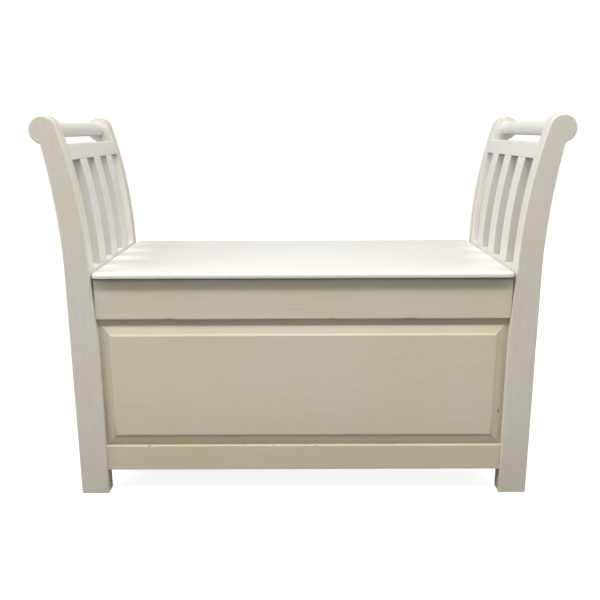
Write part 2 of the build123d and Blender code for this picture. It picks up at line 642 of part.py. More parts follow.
def hinge_leaf(side, fixed):
    """One leaf with its knuckles: two outer ones on the frame, a middle one on the lid."""
    x = HINGE_OFFSET if side == RIGHT else -HINGE_OFFSET
    third = HINGE_LENGTH / 3
    starts = (-HINGE_LENGTH / 2, third / 2) if fixed else (-third / 2 + KNUCKLE_GAP,)
    knuckle = third if fixed else third - 2 * KNUCKLE_GAP
    z_low = APRON_TOP if fixed else LID_UNDERSIDE - LEAF_THICKNESS
    clear = KNUCKLE_RADIUS + KNUCKLE_GAP
    with BuildPart() as leaf:
        block((x - HINGE_LENGTH / 2, PIN_Y - LEAF_WIDTH, z_low),
              (x + HINGE_LENGTH / 2, PIN_Y - clear, z_low + LEAF_THICKNESS))
        for start in starts:
            block((x + start, PIN_Y - clear, z_low),
                  (x + start + knuckle, PIN_Y, z_low + LEAF_THICKNESS))
            with BuildSketch(Plane.YZ.offset(x + start)):
                with Locations((PIN_Y, PIN_Z)):
                    Circle(KNUCKLE_RADIUS)
            extrude(amount=knuckle)
            with BuildSketch(Plane.YZ.offset(x + start)):
                with Locations((PIN_Y, PIN_Z)):
                    Circle(PIN_RADIUS + PIN_FIT)
            extrude(amount=knuckle, mode=Mode.SUBTRACT)
        z_head = APRON_TOP + LEAF_THICKNESS if fixed else z_low
        own = [place for place in hinge_screw_places(z_head, 0 if fixed else 180)
               if place.position.X * x > 0]
        with Locations(*own):
            CounterSinkHole(HINGE_SCREW_RADIUS + SCREW_FIT,
                            HINGE_SCREW_RADIUS * SCREW_HEAD_RATIO + SCREW_FIT,
                            depth=HINGE_SCREW_LENGTH, counter_sink_angle=COUNTERSINK_ANGLE)
    finish(leaf.part, f"{side}_hinge_{'frame' if fixed else 'lid'}_leaf")


def hinge_pin(side):
    """Pin through the three knuckles of one hinge."""
    x = HINGE_OFFSET if side == RIGHT else -HINGE_OFFSET
    with BuildPart() as pin:
        with BuildSketch(Plane.YZ.offset(x - HINGE_LENGTH / 2)):
            with Locations((PIN_Y, PIN_Z)):
                Circle(PIN_RADIUS)
        extrude(amount=HINGE_LENGTH)
    finish(pin.part, f"{side}_hinge_pin")


# ---- Screws ----

def screws(name, places, radius, length):
    """Group of countersunk screws, their heads flush at the given locations."""
    head = radius * SCREW_HEAD_RATIO
    point = 2 * radius
    with BuildPart() as one:
        with BuildSketch(Plane.XZ):
            with BuildLine():
                Polyline((0, 0), (head, 0), (radius, radius - head), (radius, point - length),
                         (0, -length), (0, 0))
            make_face()
        revolve(axis=Axis.Z)
    with BuildPart() as group:
        with Locations(*places):
            add(one.part)
    finish(group.part, name)


def main():
    """Build and write every piece."""
    os.makedirs("parts", exist_ok=True)
    for side in (LEFT, RIGHT):
        for row in (FRONT, REAR):
            post(side, row)
        handle(side)
        for name in SIDE_RAILS:
            side_rail(side, name)
        for number, y in enumerate(slat_centres(), start=1):
            slat(side, number, y)
        side_panel(side)
        lid_batten(side)
        hinge_leaf(side, True)
        hinge_leaf(side, False)
        hinge_pin(side)
    cross_rail(FRONT, "upper", "front_apron")
    cross_rail(FRONT, "lower", "front_lower_rail")
    cross_rail(REAR, "upper", "back_upper_rail")
    cross_rail(REAR, "lower", "back_lower_rail")
    front_panel()
    back_panel()
    for place in CLEATS:
        cleat(place)
    floor_board()
    lid_board()
    lid_bumpers()
    screws("frame_leaf_screws", hinge_screw_places(APRON_TOP + LEAF_THICKNESS, 0),
           HINGE_SCREW_RADIUS, HINGE_SCREW_LENGTH)
    screws("lid_leaf_screws", hinge_screw_places(LID_UNDERSIDE - LEAF_THICKNESS, 180),
           HINGE_SCREW_RADIUS, HINGE_SCREW_LENGTH)
    screws("batten_screws", batten_screw_places(LEFT) + batten_screw_places(RIGHT),
           SCREW_RADIUS, SCREW_LENGTH)
    screws("cleat_screws", [place for name in CLEATS for place in cleat_screw_places(name)],
           SCREW_RADIUS, SCREW_LENGTH)


main()
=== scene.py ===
"""Looks of the storage bench: fine boards, finishes and studio light round its fixed frame.

Every board is a closed section carried along a straight run. Its arrises are rounded by moving
the section inwards as it nears each end, and the boards of the arms are then bent to the arm's
curve. Lengths are in metres, and places come from the frame.
"""
import logging
import math
from dataclasses import dataclass, field, replace
from enum import Enum

import bpy
import numpy as np
from mathutils import Matrix, Vector


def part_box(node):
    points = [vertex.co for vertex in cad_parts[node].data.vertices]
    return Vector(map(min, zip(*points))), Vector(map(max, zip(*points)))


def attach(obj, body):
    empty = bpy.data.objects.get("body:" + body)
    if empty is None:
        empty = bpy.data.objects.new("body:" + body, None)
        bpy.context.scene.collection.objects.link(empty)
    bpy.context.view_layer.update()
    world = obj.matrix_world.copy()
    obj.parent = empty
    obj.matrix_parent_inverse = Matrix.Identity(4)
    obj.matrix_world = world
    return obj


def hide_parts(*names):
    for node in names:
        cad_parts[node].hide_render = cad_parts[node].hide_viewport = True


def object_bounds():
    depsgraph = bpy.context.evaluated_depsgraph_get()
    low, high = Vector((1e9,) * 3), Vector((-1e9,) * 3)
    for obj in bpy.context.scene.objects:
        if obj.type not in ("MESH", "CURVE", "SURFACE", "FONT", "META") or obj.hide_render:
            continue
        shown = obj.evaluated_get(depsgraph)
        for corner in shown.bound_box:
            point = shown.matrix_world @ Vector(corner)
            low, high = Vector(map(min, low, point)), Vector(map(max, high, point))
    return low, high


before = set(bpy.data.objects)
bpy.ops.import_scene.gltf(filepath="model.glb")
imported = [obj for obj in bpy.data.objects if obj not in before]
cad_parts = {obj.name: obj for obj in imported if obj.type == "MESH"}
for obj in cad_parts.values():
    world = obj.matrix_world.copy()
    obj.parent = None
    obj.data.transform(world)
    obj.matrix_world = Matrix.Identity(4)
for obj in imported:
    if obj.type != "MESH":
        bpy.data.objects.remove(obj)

CAD_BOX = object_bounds()
LOG = logging.getLogger("storage_bench")
MM = 0.001
FULL_TURN = 2 * math.pi
BASE_BODY = "base"
LID_BODY = "lid"
WHITE = (1.0, 1.0, 1.0, 1.0)
Socket = bpy.types.NodeSocket


class Run(Enum):
    """Which way a section is carried: its two own axes, then the axis that it runs along."""

    ALONG_X = (1, 2, 0)
    ALONG_Y = (2, 0, 1)
    ALONG_Z = (0, 1, 2)


class Side(Enum):
    """The two ends of the bench."""

    LEFT = "left"
    RIGHT = "right"


# ---------------------------------------------------------------- shapes


@dataclass(frozen=True)
class Section:
    """Closed outline, counter-clockwise in its own two axes.

    points holds one row per corner or arc point, and worn is 1 at the middle of a rounded
    corner and 0 on the flats. limit is how far each point may be moved inwards along its own
    normals, and turn is the way it goes on from there. The outline's finer points lie on the
    run that begins at start, at the given share of its length.
    """

    points: np.ndarray
    worn: np.ndarray
    limit: np.ndarray
    turn: np.ndarray
    start: np.ndarray = field(default_factory=lambda: np.zeros(0, int))
    share: np.ndarray = field(default_factory=lambda: np.zeros(0))

    def __post_init__(self) -> None:
        """Starts with one fine point for each of its own."""
        if not len(self.start):
            object.__setattr__(self, "start", np.arange(len(self.points)))
            object.__setattr__(self, "share", np.zeros(len(self.points)))

    @staticmethod
    def sharp(points: np.ndarray) -> "Section":
        """Outline whose points all keep their own corners."""
        count = len(points)
        return Section(points, np.zeros(count), np.full(count, np.inf), np.zeros((count, 2)))

    def spread(self, spacing: float, support: float = 1.2 * MM) -> "Section":
        """The same outline with extra points on its long runs.

        A run much longer than support gets a point near each of its ends, which keeps the
        flats flat in shading, and the rest of it is divided evenly.

        Args:
            spacing: longest gap wanted between two points.
            support: distance of the first extra point from the end of a run.

        Returns:
            The finer section.
        """
        length = np.linalg.norm(np.roll(self.points, -1, axis=0) - self.points, axis=1)
        long = length > 4 * support
        parts = np.maximum(1, np.ceil((length - 2 * support * long) / spacing)).astype(int)
        counts = parts + 2 * long
        start = np.repeat(np.arange(len(length)), counts)
        order = np.arange(counts.sum()) - np.repeat(np.cumsum(counts) - counts, counts)
        step = (length - 2 * support * long) / parts
        reach = np.where(long[start], support + (order - 1) * step[start], order * step[start])
        share = np.where(order == 0, 0.0, reach / length[start])
        return replace(self, start=start, share=share)

    def fine_worn(self) -> np.ndarray:
        """Wear at each fine point: none on the flats."""
        return np.where(self.share == 0, self.worn[self.start], 0.0)

    def moved_in(self, inset: np.ndarray) -> np.ndarray:
        """The outline moved inwards, once for each inset.

        With n and m the outward normals of a point's two runs, one unit inwards is
        -(n + m) / (1 + n . m). A point of a rounded corner stops at its limit and then goes on
        with its corner, so that a small arc stays however far it is moved. The fine points are
        placed on the moved runs.

        Args:
            inset: how far inwards, one value for each row.

        Returns:
            The fine points, by row, point and axis.
        """
        after = np.roll(self.points, -1, axis=0) - self.points
        after /= np.linalg.norm(after, axis=1, keepdims=True)
        normal = np.column_stack([after[:, 1], -after[:, 0]])
        before = np.roll(normal, 1, axis=0)
        unit = -(normal + before) / (1 + np.sum(normal * before, axis=1, keepdims=True))
        own = np.minimum(inset[:, None], self.limit[None])
        rest = inset[:, None] - own
        moved = self.points[None] + own[..., None] * unit[None] + rest[..., None] * self.turn[None]
        share = self.share[None, :, None]
        following = np.roll(moved, -1, axis=1)[:, self.start]
        return moved[:, self.start] * (1 - share) + following * share


def toward(angle: np.ndarray) -> np.ndarray:
    """Unit vector at each angle: its cosine and its sine."""
    return np.stack([np.cos(angle), np.sin(angle)], axis=-1)


def eased(corners: np.ndarray, radii: np.ndarray, closed: bool = True, steps: int = 7) -> Section:
    """Outline through corners, each corner replaced by an arc.

    The arc of a corner starts at radius * tan(turn / 2) before it. A point on it is the arc's
    centre minus the radius times the left normal of the heading there, and the heading turns
    evenly from the run before the corner to the run after it.

    Args:
        corners: one row per corner.
        radii: radius of each corner. An end of an open line keeps its own point.
        closed: whether the last corner joins the first.
        steps: points on each arc.

    Returns:
        The outline, with worn 1 at the middle of each arc.
    """
    corners, radii = np.asarray(corners, float), np.asarray(radii, float)
    inner = slice(None) if closed else slice(1, -1)
    arrive = (corners - np.roll(corners, 1, axis=0))[inner]
    leave = (np.roll(corners, -1, axis=0) - corners)[inner]
    heading = np.arctan2(arrive[:, 1], arrive[:, 0])
    turn = np.arctan2(leave[:, 1], leave[:, 0]) - heading
    turn = (turn + math.pi) % FULL_TURN - math.pi
    sense, radius = np.sign(turn), radii[inner]
    along, left = toward(heading), toward(heading + math.pi / 2)
    start = corners[inner] - along * (radius * np.tan(np.abs(turn) / 2))[:, None]
    centre = start + left * (sense * radius)[:, None]
    share = np.linspace(0, 1, steps)
    normal = toward(heading[:, None] + turn[:, None] * share + math.pi / 2)
    arcs = centre[:, None] - normal * (sense * radius)[:, None, None]
    away = (left + toward(heading + turn + math.pi / 2)) / (1 + np.cos(turn))[:, None]
    limit = np.repeat(np.where(sense > 0, 0.9 * radius, np.inf), steps)
    points, worn = arcs.reshape(-1, 2), np.tile(np.sin(math.pi * share), len(radius))
    away = np.repeat(away, steps, axis=0)
    if not closed:
        points = np.vstack([corners[:1], points, corners[-1:]])
        worn = np.concatenate([[0.0], worn, [0.0]])
        limit = np.concatenate([[np.inf], limit, [np.inf]])
        away = np.vstack([away[:1], away, away[-1:]])
    return Section(points, worn, limit, away)


def rectangle(low: tuple[float, float], high: tuple[float, float],
              radii: tuple | None = None) -> Section:
    """Rectangle with its corners in the order low-low, high-low, high-high, low-high.

    Args:
        low: lowest corner.
        high: highest corner.
        radii: radius of each corner, or nothing for square corners.

    Returns:
        The outline.
    """
    corners = np.array([low, (high[0], low[1]), high, (low[0], high[1])], float)
    return Section.sharp(corners) if radii is None else eased(corners, np.array(radii))


def arc_points(centre: tuple, radius: float, start: float, end: float, count: int) -> np.ndarray:
    """Points on an arc: centre + radius * (cos, sin) of evenly spaced angles in radians."""
    return np.asarray(centre) + radius * toward(np.linspace(start, end, count))


def angle_to(centre: np.ndarray, point: np.ndarray) -> float:
    """Direction of a point as seen from a centre, from 0 to a whole turn."""
    run, rise = point - centre
    return math.atan2(rise, run) % FULL_TURN


def ring_quads(many: int, wide: int) -> np.ndarray:
    """Quads between neighbouring rows of a grid whose last column joins its first."""
    column = np.arange(wide)
    base = np.arange(many - 1)[:, None] * wide
    here, there = base + column, base + np.roll(column, -1)
    return np.stack([here, there, there + wide, here + wide], axis=-1).reshape(-1, 4)


def placed(name: str, data: bpy.types.ID) -> bpy.types.Object:
    """New object in the scene."""
    made = bpy.data.objects.new(name, data)
    bpy.context.scene.collection.objects.link(made)
    return made


@dataclass(frozen=True)
class Rows:
    """How a section travels: how far in it is moved, how far along it is, its wear and its painted
    shade.
    """

    inset: np.ndarray
    level: np.ndarray
    worn: np.ndarray
    seam: np.ndarray


def rounded_ends(low: float, high: float, ease_low: float, ease_high: float,
                 spacing: float = 0.05, steps: int = 6) -> Rows:
    """Rows of a board whose end arrises are quarter circles.

    At angle a on the quarter, the section is moved in by ease * (1 - sin a) and stands
    ease * (1 - cos a) from the end.

    Args:
        low: level of the first end.
        high: level of the second end.
        ease_low: arris radius at the first end.
        ease_high: arris radius at the second end.
        spacing: longest gap between two rows of the straight part.
        steps: rows on each quarter.

    Returns:
        The rows, from low to high.
    """
    angle = np.linspace(0, math.pi / 2, steps)
    rise, run = 1 - np.sin(angle), 1 - np.cos(angle)
    count = max(2, math.ceil((high - low) / spacing)) + 1
    straight = np.linspace(low + ease_low, high - ease_high, count)[1:-1]
    inset = np.concatenate([[ease_low + MM], ease_low * rise, 0 * straight,
                            ease_high * rise[::-1], [ease_high + MM]])
    level = np.concatenate([[low], low + ease_low * run, straight,
                            high - ease_high * run[::-1], [high]])
    worn = np.concatenate([[0.0], np.sin(2 * angle), 0 * straight, np.sin(2 * angle), [0.0]])
    return Rows(inset, level, worn, np.zeros(len(level)))


@dataclass
class Shell:
    """Closed surface: points, faces, and the wear and painted shade values that the finishes read.
    """

    points: np.ndarray
    faces: list[tuple[int, ...]]
    worn: np.ndarray
    seam: np.ndarray
    chipped: np.ndarray = field(default_factory=lambda: np.zeros(0))

    def __post_init__(self) -> None:
        """Starts with no chips."""
        if len(self.chipped) != len(self.points):
            self.chipped = np.zeros(len(self.points))

    def on(self, side: Side) -> "Shell":
        """A right-hand shell on its side of the bench: mirrored, faces outwards, on the left."""
        if side is Side.RIGHT:
            return self
        points = self.points * np.array([-1.0, 1.0, 1.0])
        faces = [face[::-1] for face in self.faces]
        return Shell(points, faces, self.worn, self.seam, self.chipped)

    def joined(self, other: "Shell") -> "Shell":
        """This shell and another as one."""
        start = len(self.points)
        faces = self.faces + [tuple(n + start for n in face) for face in other.faces]
        values = [np.append(getattr(self, name), getattr(other, name))
                  for name in ("worn", "seam", "chipped")]
        return Shell(np.vstack([self.points, other.points]), faces, *values)

    def knocked(self, place: tuple, reach: tuple, push: tuple, chip: float = 1.0) -> None:
        """Dents the shell round a place.

        A point moves by push * exp(-d), where d is the squared distance from the place with
        each axis measured in its own reach.

        Args:
            place: middle of the dent.
            reach: how far it spreads along each axis.
            push: how far its middle moves.
            chip: how much paint is gone there, from 0 to 1.
        """
        offset = (self.points - np.array(place)) / np.array(reach)
        weight = np.exp(-np.sum(offset ** 2, axis=1))
        self.points = self.points + weight[:, None] * np.array(push)
        self.chipped = np.maximum(self.chipped, chip * weight)


def carry(section: Section, run: Run, rows: Rows) -> Shell:
    """Carries a section along a run.

    The point in row k and column i is the section's point i, moved in by the row's inset, at
    the row's level. Quads join neighbouring rows, and a flat face closes each end.

    Args:
        section: the outline.
        run: the axes it lies in and the axis it follows.
        rows: inset, level, wear and painted shade of each row.

    Returns:
        The closed shell, its faces outwards.
    """
    flat = section.moved_in(rows.inset)
    level = np.broadcast_to(rows.level[:, None, None], flat.shape[:2] + (1,))
    points = np.empty(flat.shape[:2] + (3,))
    points[..., list(run.value)] = np.concatenate([flat, level], axis=2)
    many, wide = flat.shape[:2]
    last = (many - 1) * wide
    caps = [tuple(range(wide))[::-1], tuple(range(last, last + wide))]
    worn = np.maximum(rows.worn[:, None], section.fine_worn()[None]).ravel()
    seam = np.broadcast_to(rows.seam[:, None], (many, wide)).ravel()
    quads = list(map(tuple, ring_quads(many, wide).tolist()))
    return Shell(points.reshape(-1, 3), quads + caps, worn, seam)


@dataclass(frozen=True)
class Board:
    """Straight board with rounded arrises."""

    low: tuple[float, float, float]
    high: tuple[float, float, float]
    run: Run
    arris: tuple[float, float, float, float] = (MM, MM, MM, MM)
    end_arris: float = 0.6 * MM
    spacing: float = 0.04

    def shell(self) -> Shell:
        """The board's surface: a rounded rectangle carried between its two ends."""
        a, b, along = self.run.value
        outline = rectangle((self.low[a], self.low[b]), (self.high[a], self.high[b]), self.arris)
        rows = rounded_ends(self.low[along], self.high[along], self.end_arris, self.end_arris,
                            self.spacing)
        return carry(outline.spread(self.spacing), self.run, rows)


@dataclass(frozen=True)
class Unevenness:
    """Slight waves that hand tools leave in a board.

    The depth at a point is the mean of several sines of its place, each with its own seeded
    direction, length and phase, turned so that it only ever takes wood away.
    """

    depth: float = 0.25 * MM
    shortest: float = 0.07
    longest: float = 0.30
    waves: int = 5

    def apply(self, shell: Shell, seed: int, across: tuple[float, float, float]) -> None:
        """Moves the shell's points towards its middle plane.

        Args:
            shell: the surface to change.
            seed: number of the board.
            across: 1 for each axis that the points may move along, 0 for the others.
        """
        rng = np.random.default_rng(seed)
        heading = rng.normal(size=(self.waves, 3))
        heading /= np.linalg.norm(heading, axis=1, keepdims=True)
        length = rng.uniform(self.shortest, self.longest, self.waves)
        phase = rng.uniform(0, FULL_TURN, self.waves)
        wave = np.sin(shell.points @ (heading / length[:, None]).T * FULL_TURN + phase)
        depth = self.depth * (0.5 + 0.5 * wave.mean(axis=1))
        middle = (shell.points.min(axis=0) + shell.points.max(axis=0)) / 2
        toward = np.sign(middle - shell.points) * np.array(across)
        shell.points = shell.points + depth[:, None] * toward


# ---------------------------------------------------------------- node helpers


class Recipe:
    """Short way of writing a node tree."""

    def __init__(self, tree: bpy.types.NodeTree) -> None:
        """Starts in the tree that new nodes go into."""
        self.tree = tree

    def node(self, kind: str, inputs: dict | None = None, **settings: object) -> bpy.types.Node:
        """Adds a node.

        Args:
            kind: the node's type.
            inputs: value or socket for each named or numbered input.
            settings: the node's own properties.

        Returns:
            The node.
        """
        made = self.tree.nodes.new(kind)
        for name, value in settings.items():
            setattr(made, name, value)
        for name, value in (inputs or {}).items():
            if isinstance(value, Socket):
                self.tree.links.new(value, made.inputs[name])
            else:
                made.inputs[name].default_value = value
        return made

    def math(self, operation: str, *values: object, clamp: bool = False) -> Socket:
        """One Math node's result."""
        made = self.node("ShaderNodeMath", dict(enumerate(values)), operation=operation,
                         use_clamp=clamp)
        return made.outputs[0]

    def blend(self, first: object, weight: float, second: object,
              other_weight: float) -> Socket:
        """Sum of two values, each times its own weight."""
        return self.math("ADD", self.math("MULTIPLY", first, weight),
                         self.math("MULTIPLY", second, other_weight))

    def rough(self, value: object, weight: float, least: float) -> Socket:
        """Roughness that rises with a value from its least."""
        return self.math("ADD", self.math("MULTIPLY", value, weight), least)

    def mix(self, share: object, first: object, second: object,
            blend: str = "MIX") -> Socket:
        """Mix of two colours by a share."""
        made = self.node("ShaderNodeMix", {0: share, 6: first, 7: second}, data_type="RGBA",
                         blend_type=blend)
        return made.outputs[2]

    def noise(self, vector: object, scale: float, detail: float = 3.0,
              rough: float = 0.5) -> Socket:
        """Noise value between 0 and 1."""
        made = self.node("ShaderNodeTexNoise", {"Vector": vector, "Scale": scale,
                                                "Detail": detail, "Roughness": rough})
        return made.outputs["Fac"]

    def stretch(self, vector: object, scale: tuple[float, float, float]) -> Socket:
        """The vector with each axis multiplied by its own scale."""
        made = self.node("ShaderNodeVectorMath", {0: vector, 1: scale}, operation="MULTIPLY")
        return made.outputs[0]

    def window(self, value: object, low: float, high: float) -> Socket:
        """0 below low, 1 above high and smooth between."""
        made = self.node("ShaderNodeMapRange", {"Value": value, "From Min": low,
                                                "From Max": high},
                         interpolation_type="SMOOTHSTEP")
        return made.outputs["Result"]

    def attribute(self, name: str) -> Socket:
        """Value of a mesh attribute."""
        return self.node("ShaderNodeAttribute", attribute_name=name).outputs["Fac"]

    def here(self) -> Socket:
        """Object coordinates, in metres from the middle of the bench on the floor."""
        return self.node("ShaderNodeTexCoord").outputs["Object"]

    def feed(self, node: bpy.types.Node, sockets: dict[str, Socket]) -> None:
        """Links a value to each named input of a node."""
        for name, value in sockets.items():
            self.tree.links.new(value, node.inputs[name])

    def dress(self, shader: bpy.types.Node, colour: Socket,
              rough: Socket, height: Socket, strength: float,
              distance: float) -> None:
        """Gives a shader its colour, its roughness and a bump of a height."""
        bump = self.node("ShaderNodeBump", {"Height": height, "Strength": strength,
                                            "Distance": distance})
        self.feed(shader, {"Base Color": colour, "Roughness": rough,
                           "Normal": bump.outputs[0]})


def new_group(name: str, inputs: dict[str, str], outputs: dict[str, str]) -> tuple:
    """Makes an empty node group.

    Args:
        name: the group's name.
        inputs: kind of each input socket: "float", "vector" or "colour".
        outputs: kind of each output socket.

    Returns:
        The group, its recipe, its input node and its output node.
    """
    kinds = {"float": "NodeSocketFloat", "vector": "NodeSocketVector",
             "colour": "NodeSocketColor"}
    group = bpy.data.node_groups.new(name, "ShaderNodeTree")
    for sockets, direction in ((inputs, "INPUT"), (outputs, "OUTPUT")):
        for label, kind in sockets.items():
            group.interface.new_socket(label, in_out=direction, socket_type=kinds[kind])
    return (group, Recipe(group), group.nodes.new("NodeGroupInput"),
            group.nodes.new("NodeGroupOutput"))


class Effects:
    """Surface effects that several finishes share, each built once as a node group."""

    def __init__(self) -> None:
        """Builds every group."""
        self.strokes = self._brush_strokes()
        self.wear = self._edge_wear()
        self.grain = self._wood_grain()

    @staticmethod
    def _brush_strokes() -> bpy.types.NodeTree:
        """Brush strokes along a board, broad cloudiness and fine grit in the paint.

        Place comes in already stretched along the grain. Strokes are a fine noise across the
        grain, Clouds a broad one, and Grit a very fine one in every direction.

        Returns:
            The group.
        """
        group, recipe, start, end = new_group(
            "brushed_paint", {"Along": "vector", "Place": "vector"},
            {"Strokes": "float", "Clouds": "float", "Grit": "float"})
        along, place = start.outputs["Along"], start.outputs["Place"]
        coarse = recipe.noise(along, 1.0, 4.0, 0.6)
        fine = recipe.noise(recipe.stretch(along, (2.7, 2.7, 2.7)), 1.0, 2.0, 0.5)
        recipe.feed(end, {"Strokes": recipe.blend(coarse, 0.6, fine, 0.4),
                          "Clouds": recipe.noise(place, 3.5, 3.0, 0.55),
                          "Grit": recipe.noise(place, 900.0, 2.0, 0.5)})
        return group

    @staticmethod
    def _edge_wear() -> bpy.types.NodeTree:
        """Where paint has gone: chips, and rubbed patches along the arrises.

        Bare is 1 where the arris value times a patchy noise passes a limit, or where the chip
        value does. Thin is a wider, softer version of it.

        Returns:
            The group.
        """
        group, recipe, start, end = new_group(
            "edge_wear",
            {"Arris": "float", "Chip": "float", "Place": "vector", "Amount": "float"},
            {"Bare": "float", "Thin": "float"})
        place, arris = start.outputs["Place"], start.outputs["Arris"]
        patches = recipe.window(recipe.noise(place, 14.0, 2.0, 0.5), 0.55, 0.75)
        crumbs = recipe.noise(place, 420.0, 3.0, 0.6)
        rub = recipe.math("MULTIPLY", recipe.math("MULTIPLY", arris, patches),
                          start.outputs["Amount"])
        worn = recipe.window(recipe.math("MULTIPLY", rub, crumbs), 0.37, 0.46)
        chip = recipe.window(recipe.math("ADD", start.outputs["Chip"],
                                         recipe.math("MULTIPLY", crumbs, 0.5)), 0.55, 0.68)
        recipe.feed(end, {"Bare": recipe.math("MAXIMUM", worn, chip),
                          "Thin": recipe.math("MULTIPLY", rub, 0.5, clamp=True)})
        return group

    @staticmethod
    def _wood_grain() -> bpy.types.NodeTree:
        """Growth rings and pores of bare wood, for a place already stretched along the grain.

        Returns:
            The group.
        """
        group, recipe, start, end = new_group(
            "wood_grain", {"Along": "vector", "Early": "colour", "Late": "colour"},
            {"Colour": "colour", "Height": "float"})
        along = start.outputs["Along"]
        drift = recipe.noise(along, 0.35, 3.0, 0.5)
        rings = recipe.math("FRACT", recipe.math("MULTIPLY", drift, 14.0))
        band = recipe.window(recipe.math("ABSOLUTE", recipe.math("SUBTRACT", rings, 0.5)),
                             0.12, 0.48)
        pores = recipe.noise(recipe.stretch(along, (6.0, 6.0, 6.0)), 1.0, 3.0, 0.65)
        share = recipe.blend(band, 0.55, pores, 0.45)
        recipe.feed(end, {"Colour": recipe.mix(share, start.outputs["Early"],
                                               start.outputs["Late"]),
                          "Height": recipe.math("SUBTRACT", 1.0, share)})
        return group


# ---------------------------------------------------------------- finishes


@dataclass(frozen=True)
class Finish:
    """What every finish has: a name and the record's slot it belongs to."""

    name: str
    slot: str

    def material(self, effects: Effects) -> bpy.types.Material:
        """Makes the finish's material."""
        raise NotImplementedError

    def _begin(self) -> tuple[bpy.types.Material, Recipe, bpy.types.Node]:
        """A new material, its recipe and its Principled BSDF."""
        material = bpy.data.materials.new(self.name)
        material.use_nodes = True
        return material, Recipe(material.node_tree), material.node_tree.nodes["Principled BSDF"]

    @staticmethod
    def _place(recipe: Recipe) -> Socket:
        """Object coordinates, shifted by the board's own number so that no two boards match."""
        shift = recipe.node("ShaderNodeVectorMath",
                            {0: recipe.here(), 1: recipe.attribute("board")},
                            operation="ADD")
        return shift.outputs[0]

    @staticmethod
    def _along(recipe: Recipe, place: Socket, run: Run, along: float,
               across: float) -> Socket:
        """The place stretched along the grain: its scale is low along it and high across it."""
        scale = [across] * 3
        scale[run.value[2]] = along
        return recipe.stretch(place, tuple(scale))


@dataclass(frozen=True)
class CreamPaint(Finish):
    """Satin cream paint, brushed along the grain of a board."""

    run: Run = Run.ALONG_X
    colour: tuple = (0.838, 0.835, 0.850, 1.0)
    yellow_tone: tuple = (0.800, 0.742, 0.600, 1.0)
    shade: tuple = (0.900, 0.880, 0.840, 1.0)
    streak: float = 0.55
    floor_darken_height: float = 0.26
    # Colour of the painted shade in creases, gaps and under parts.
    crease_shade: tuple = (0.330, 0.270, 0.190, 1.0)
    bare: tuple = (0.300, 0.205, 0.125, 1.0)
    wear: float = 1.0
    thin_share: float = 0.35
    cloud_spread: float = 0.35
    rough_least: float = 0.38
    rough_spread: float = 0.10
    bare_rough: float = 0.3
    stroke_height: float = 0.8
    grit_height: float = 0.10
    bump_strength: float = 0.35
    film: float = 0.07 * MM
    along_scale: float = 9.0
    across_scale: float = 260.0

    def material(self, effects: Effects) -> bpy.types.Material:
        """Paint with strokes, cloudiness, rubbed arrises, chips and painted shade in the creases.

        Args:
            effects: the shared surface effects.

        Returns:
            The material.
        """
        material, recipe, shader = self._begin()
        place = self._place(recipe)
        along = self._along(recipe, place, self.run, self.along_scale, self.across_scale)
        paint = recipe.node("ShaderNodeGroup", node_tree=effects.strokes)
        wear = recipe.node("ShaderNodeGroup", node_tree=effects.wear)
        recipe.feed(paint, {"Along": along, "Place": place})
        recipe.feed(wear, {"Place": place, "Arris": recipe.attribute("arris"),
                           "Chip": recipe.attribute("chip")})
        wear.inputs["Amount"].default_value = self.wear
        strokes, clouds, bare = (paint.outputs["Strokes"], paint.outputs["Clouds"],
                                 wear.outputs["Bare"])
        colour = self._colour(recipe, strokes, clouds)
        thin = recipe.math("MULTIPLY", wear.outputs["Thin"], self.thin_share)
        colour = recipe.mix(thin, colour, self.shade, "MULTIPLY")
        rough = recipe.math("ADD", recipe.rough(strokes, self.rough_spread, self.rough_least),
                            recipe.math("MULTIPLY", bare, self.bare_rough), clamp=True)
        height = recipe.blend(strokes, self.stroke_height, paint.outputs["Grit"],
                              self.grit_height)
        recipe.dress(shader, recipe.mix(bare, colour, self.bare), rough,
                     recipe.math("SUBTRACT", height, bare), self.bump_strength, self.film)
        shader.inputs["IOR"].default_value = 1.5
        return material

    def _colour(self, recipe: Recipe, strokes: Socket,
                clouds: Socket) -> Socket:
        """Colour of whole paint: yellower in clouds, streaked, darker towards the floor, and with
        painted shade in the creases.

        Args:
            recipe: the material's recipe.
            strokes: height of the brush strokes.
            clouds: broad cloudiness.

        Returns:
            The colour before any paint has gone.
        """
        cloud_share = recipe.math("SUBTRACT", recipe.window(clouds, 0.30, 0.75), 0.5)
        age = recipe.math("MULTIPLY_ADD", cloud_share, self.cloud_spread,
                          recipe.attribute("yellow_tone"), clamp=True)
        height = recipe.node("ShaderNodeSeparateXYZ", {0: recipe.here()}).outputs["Z"]
        # Paint darker towards the floor, below floor_darken_height.
        near_floor = recipe.math("SUBTRACT", 1.0, recipe.window(height, 0.0, self.floor_darken_height))
        streaks = recipe.math("MULTIPLY", recipe.window(strokes, 0.32, 0.72), self.streak)
        colour = recipe.mix(age, self.colour, self.yellow_tone)
        for share in (streaks, near_floor):
            colour = recipe.mix(share, colour, self.shade, "MULTIPLY")
        # Painted shade: the seam attribute, made patchy by the clouds, mixes in the crease colour.
        patchy = recipe.math("ADD", recipe.math("MULTIPLY", clouds, 0.8), 0.35, clamp=True)
        shade_share = recipe.math("MULTIPLY", recipe.attribute("seam"), patchy, clamp=True)
        return recipe.mix(shade_share, colour, self.crease_shade)


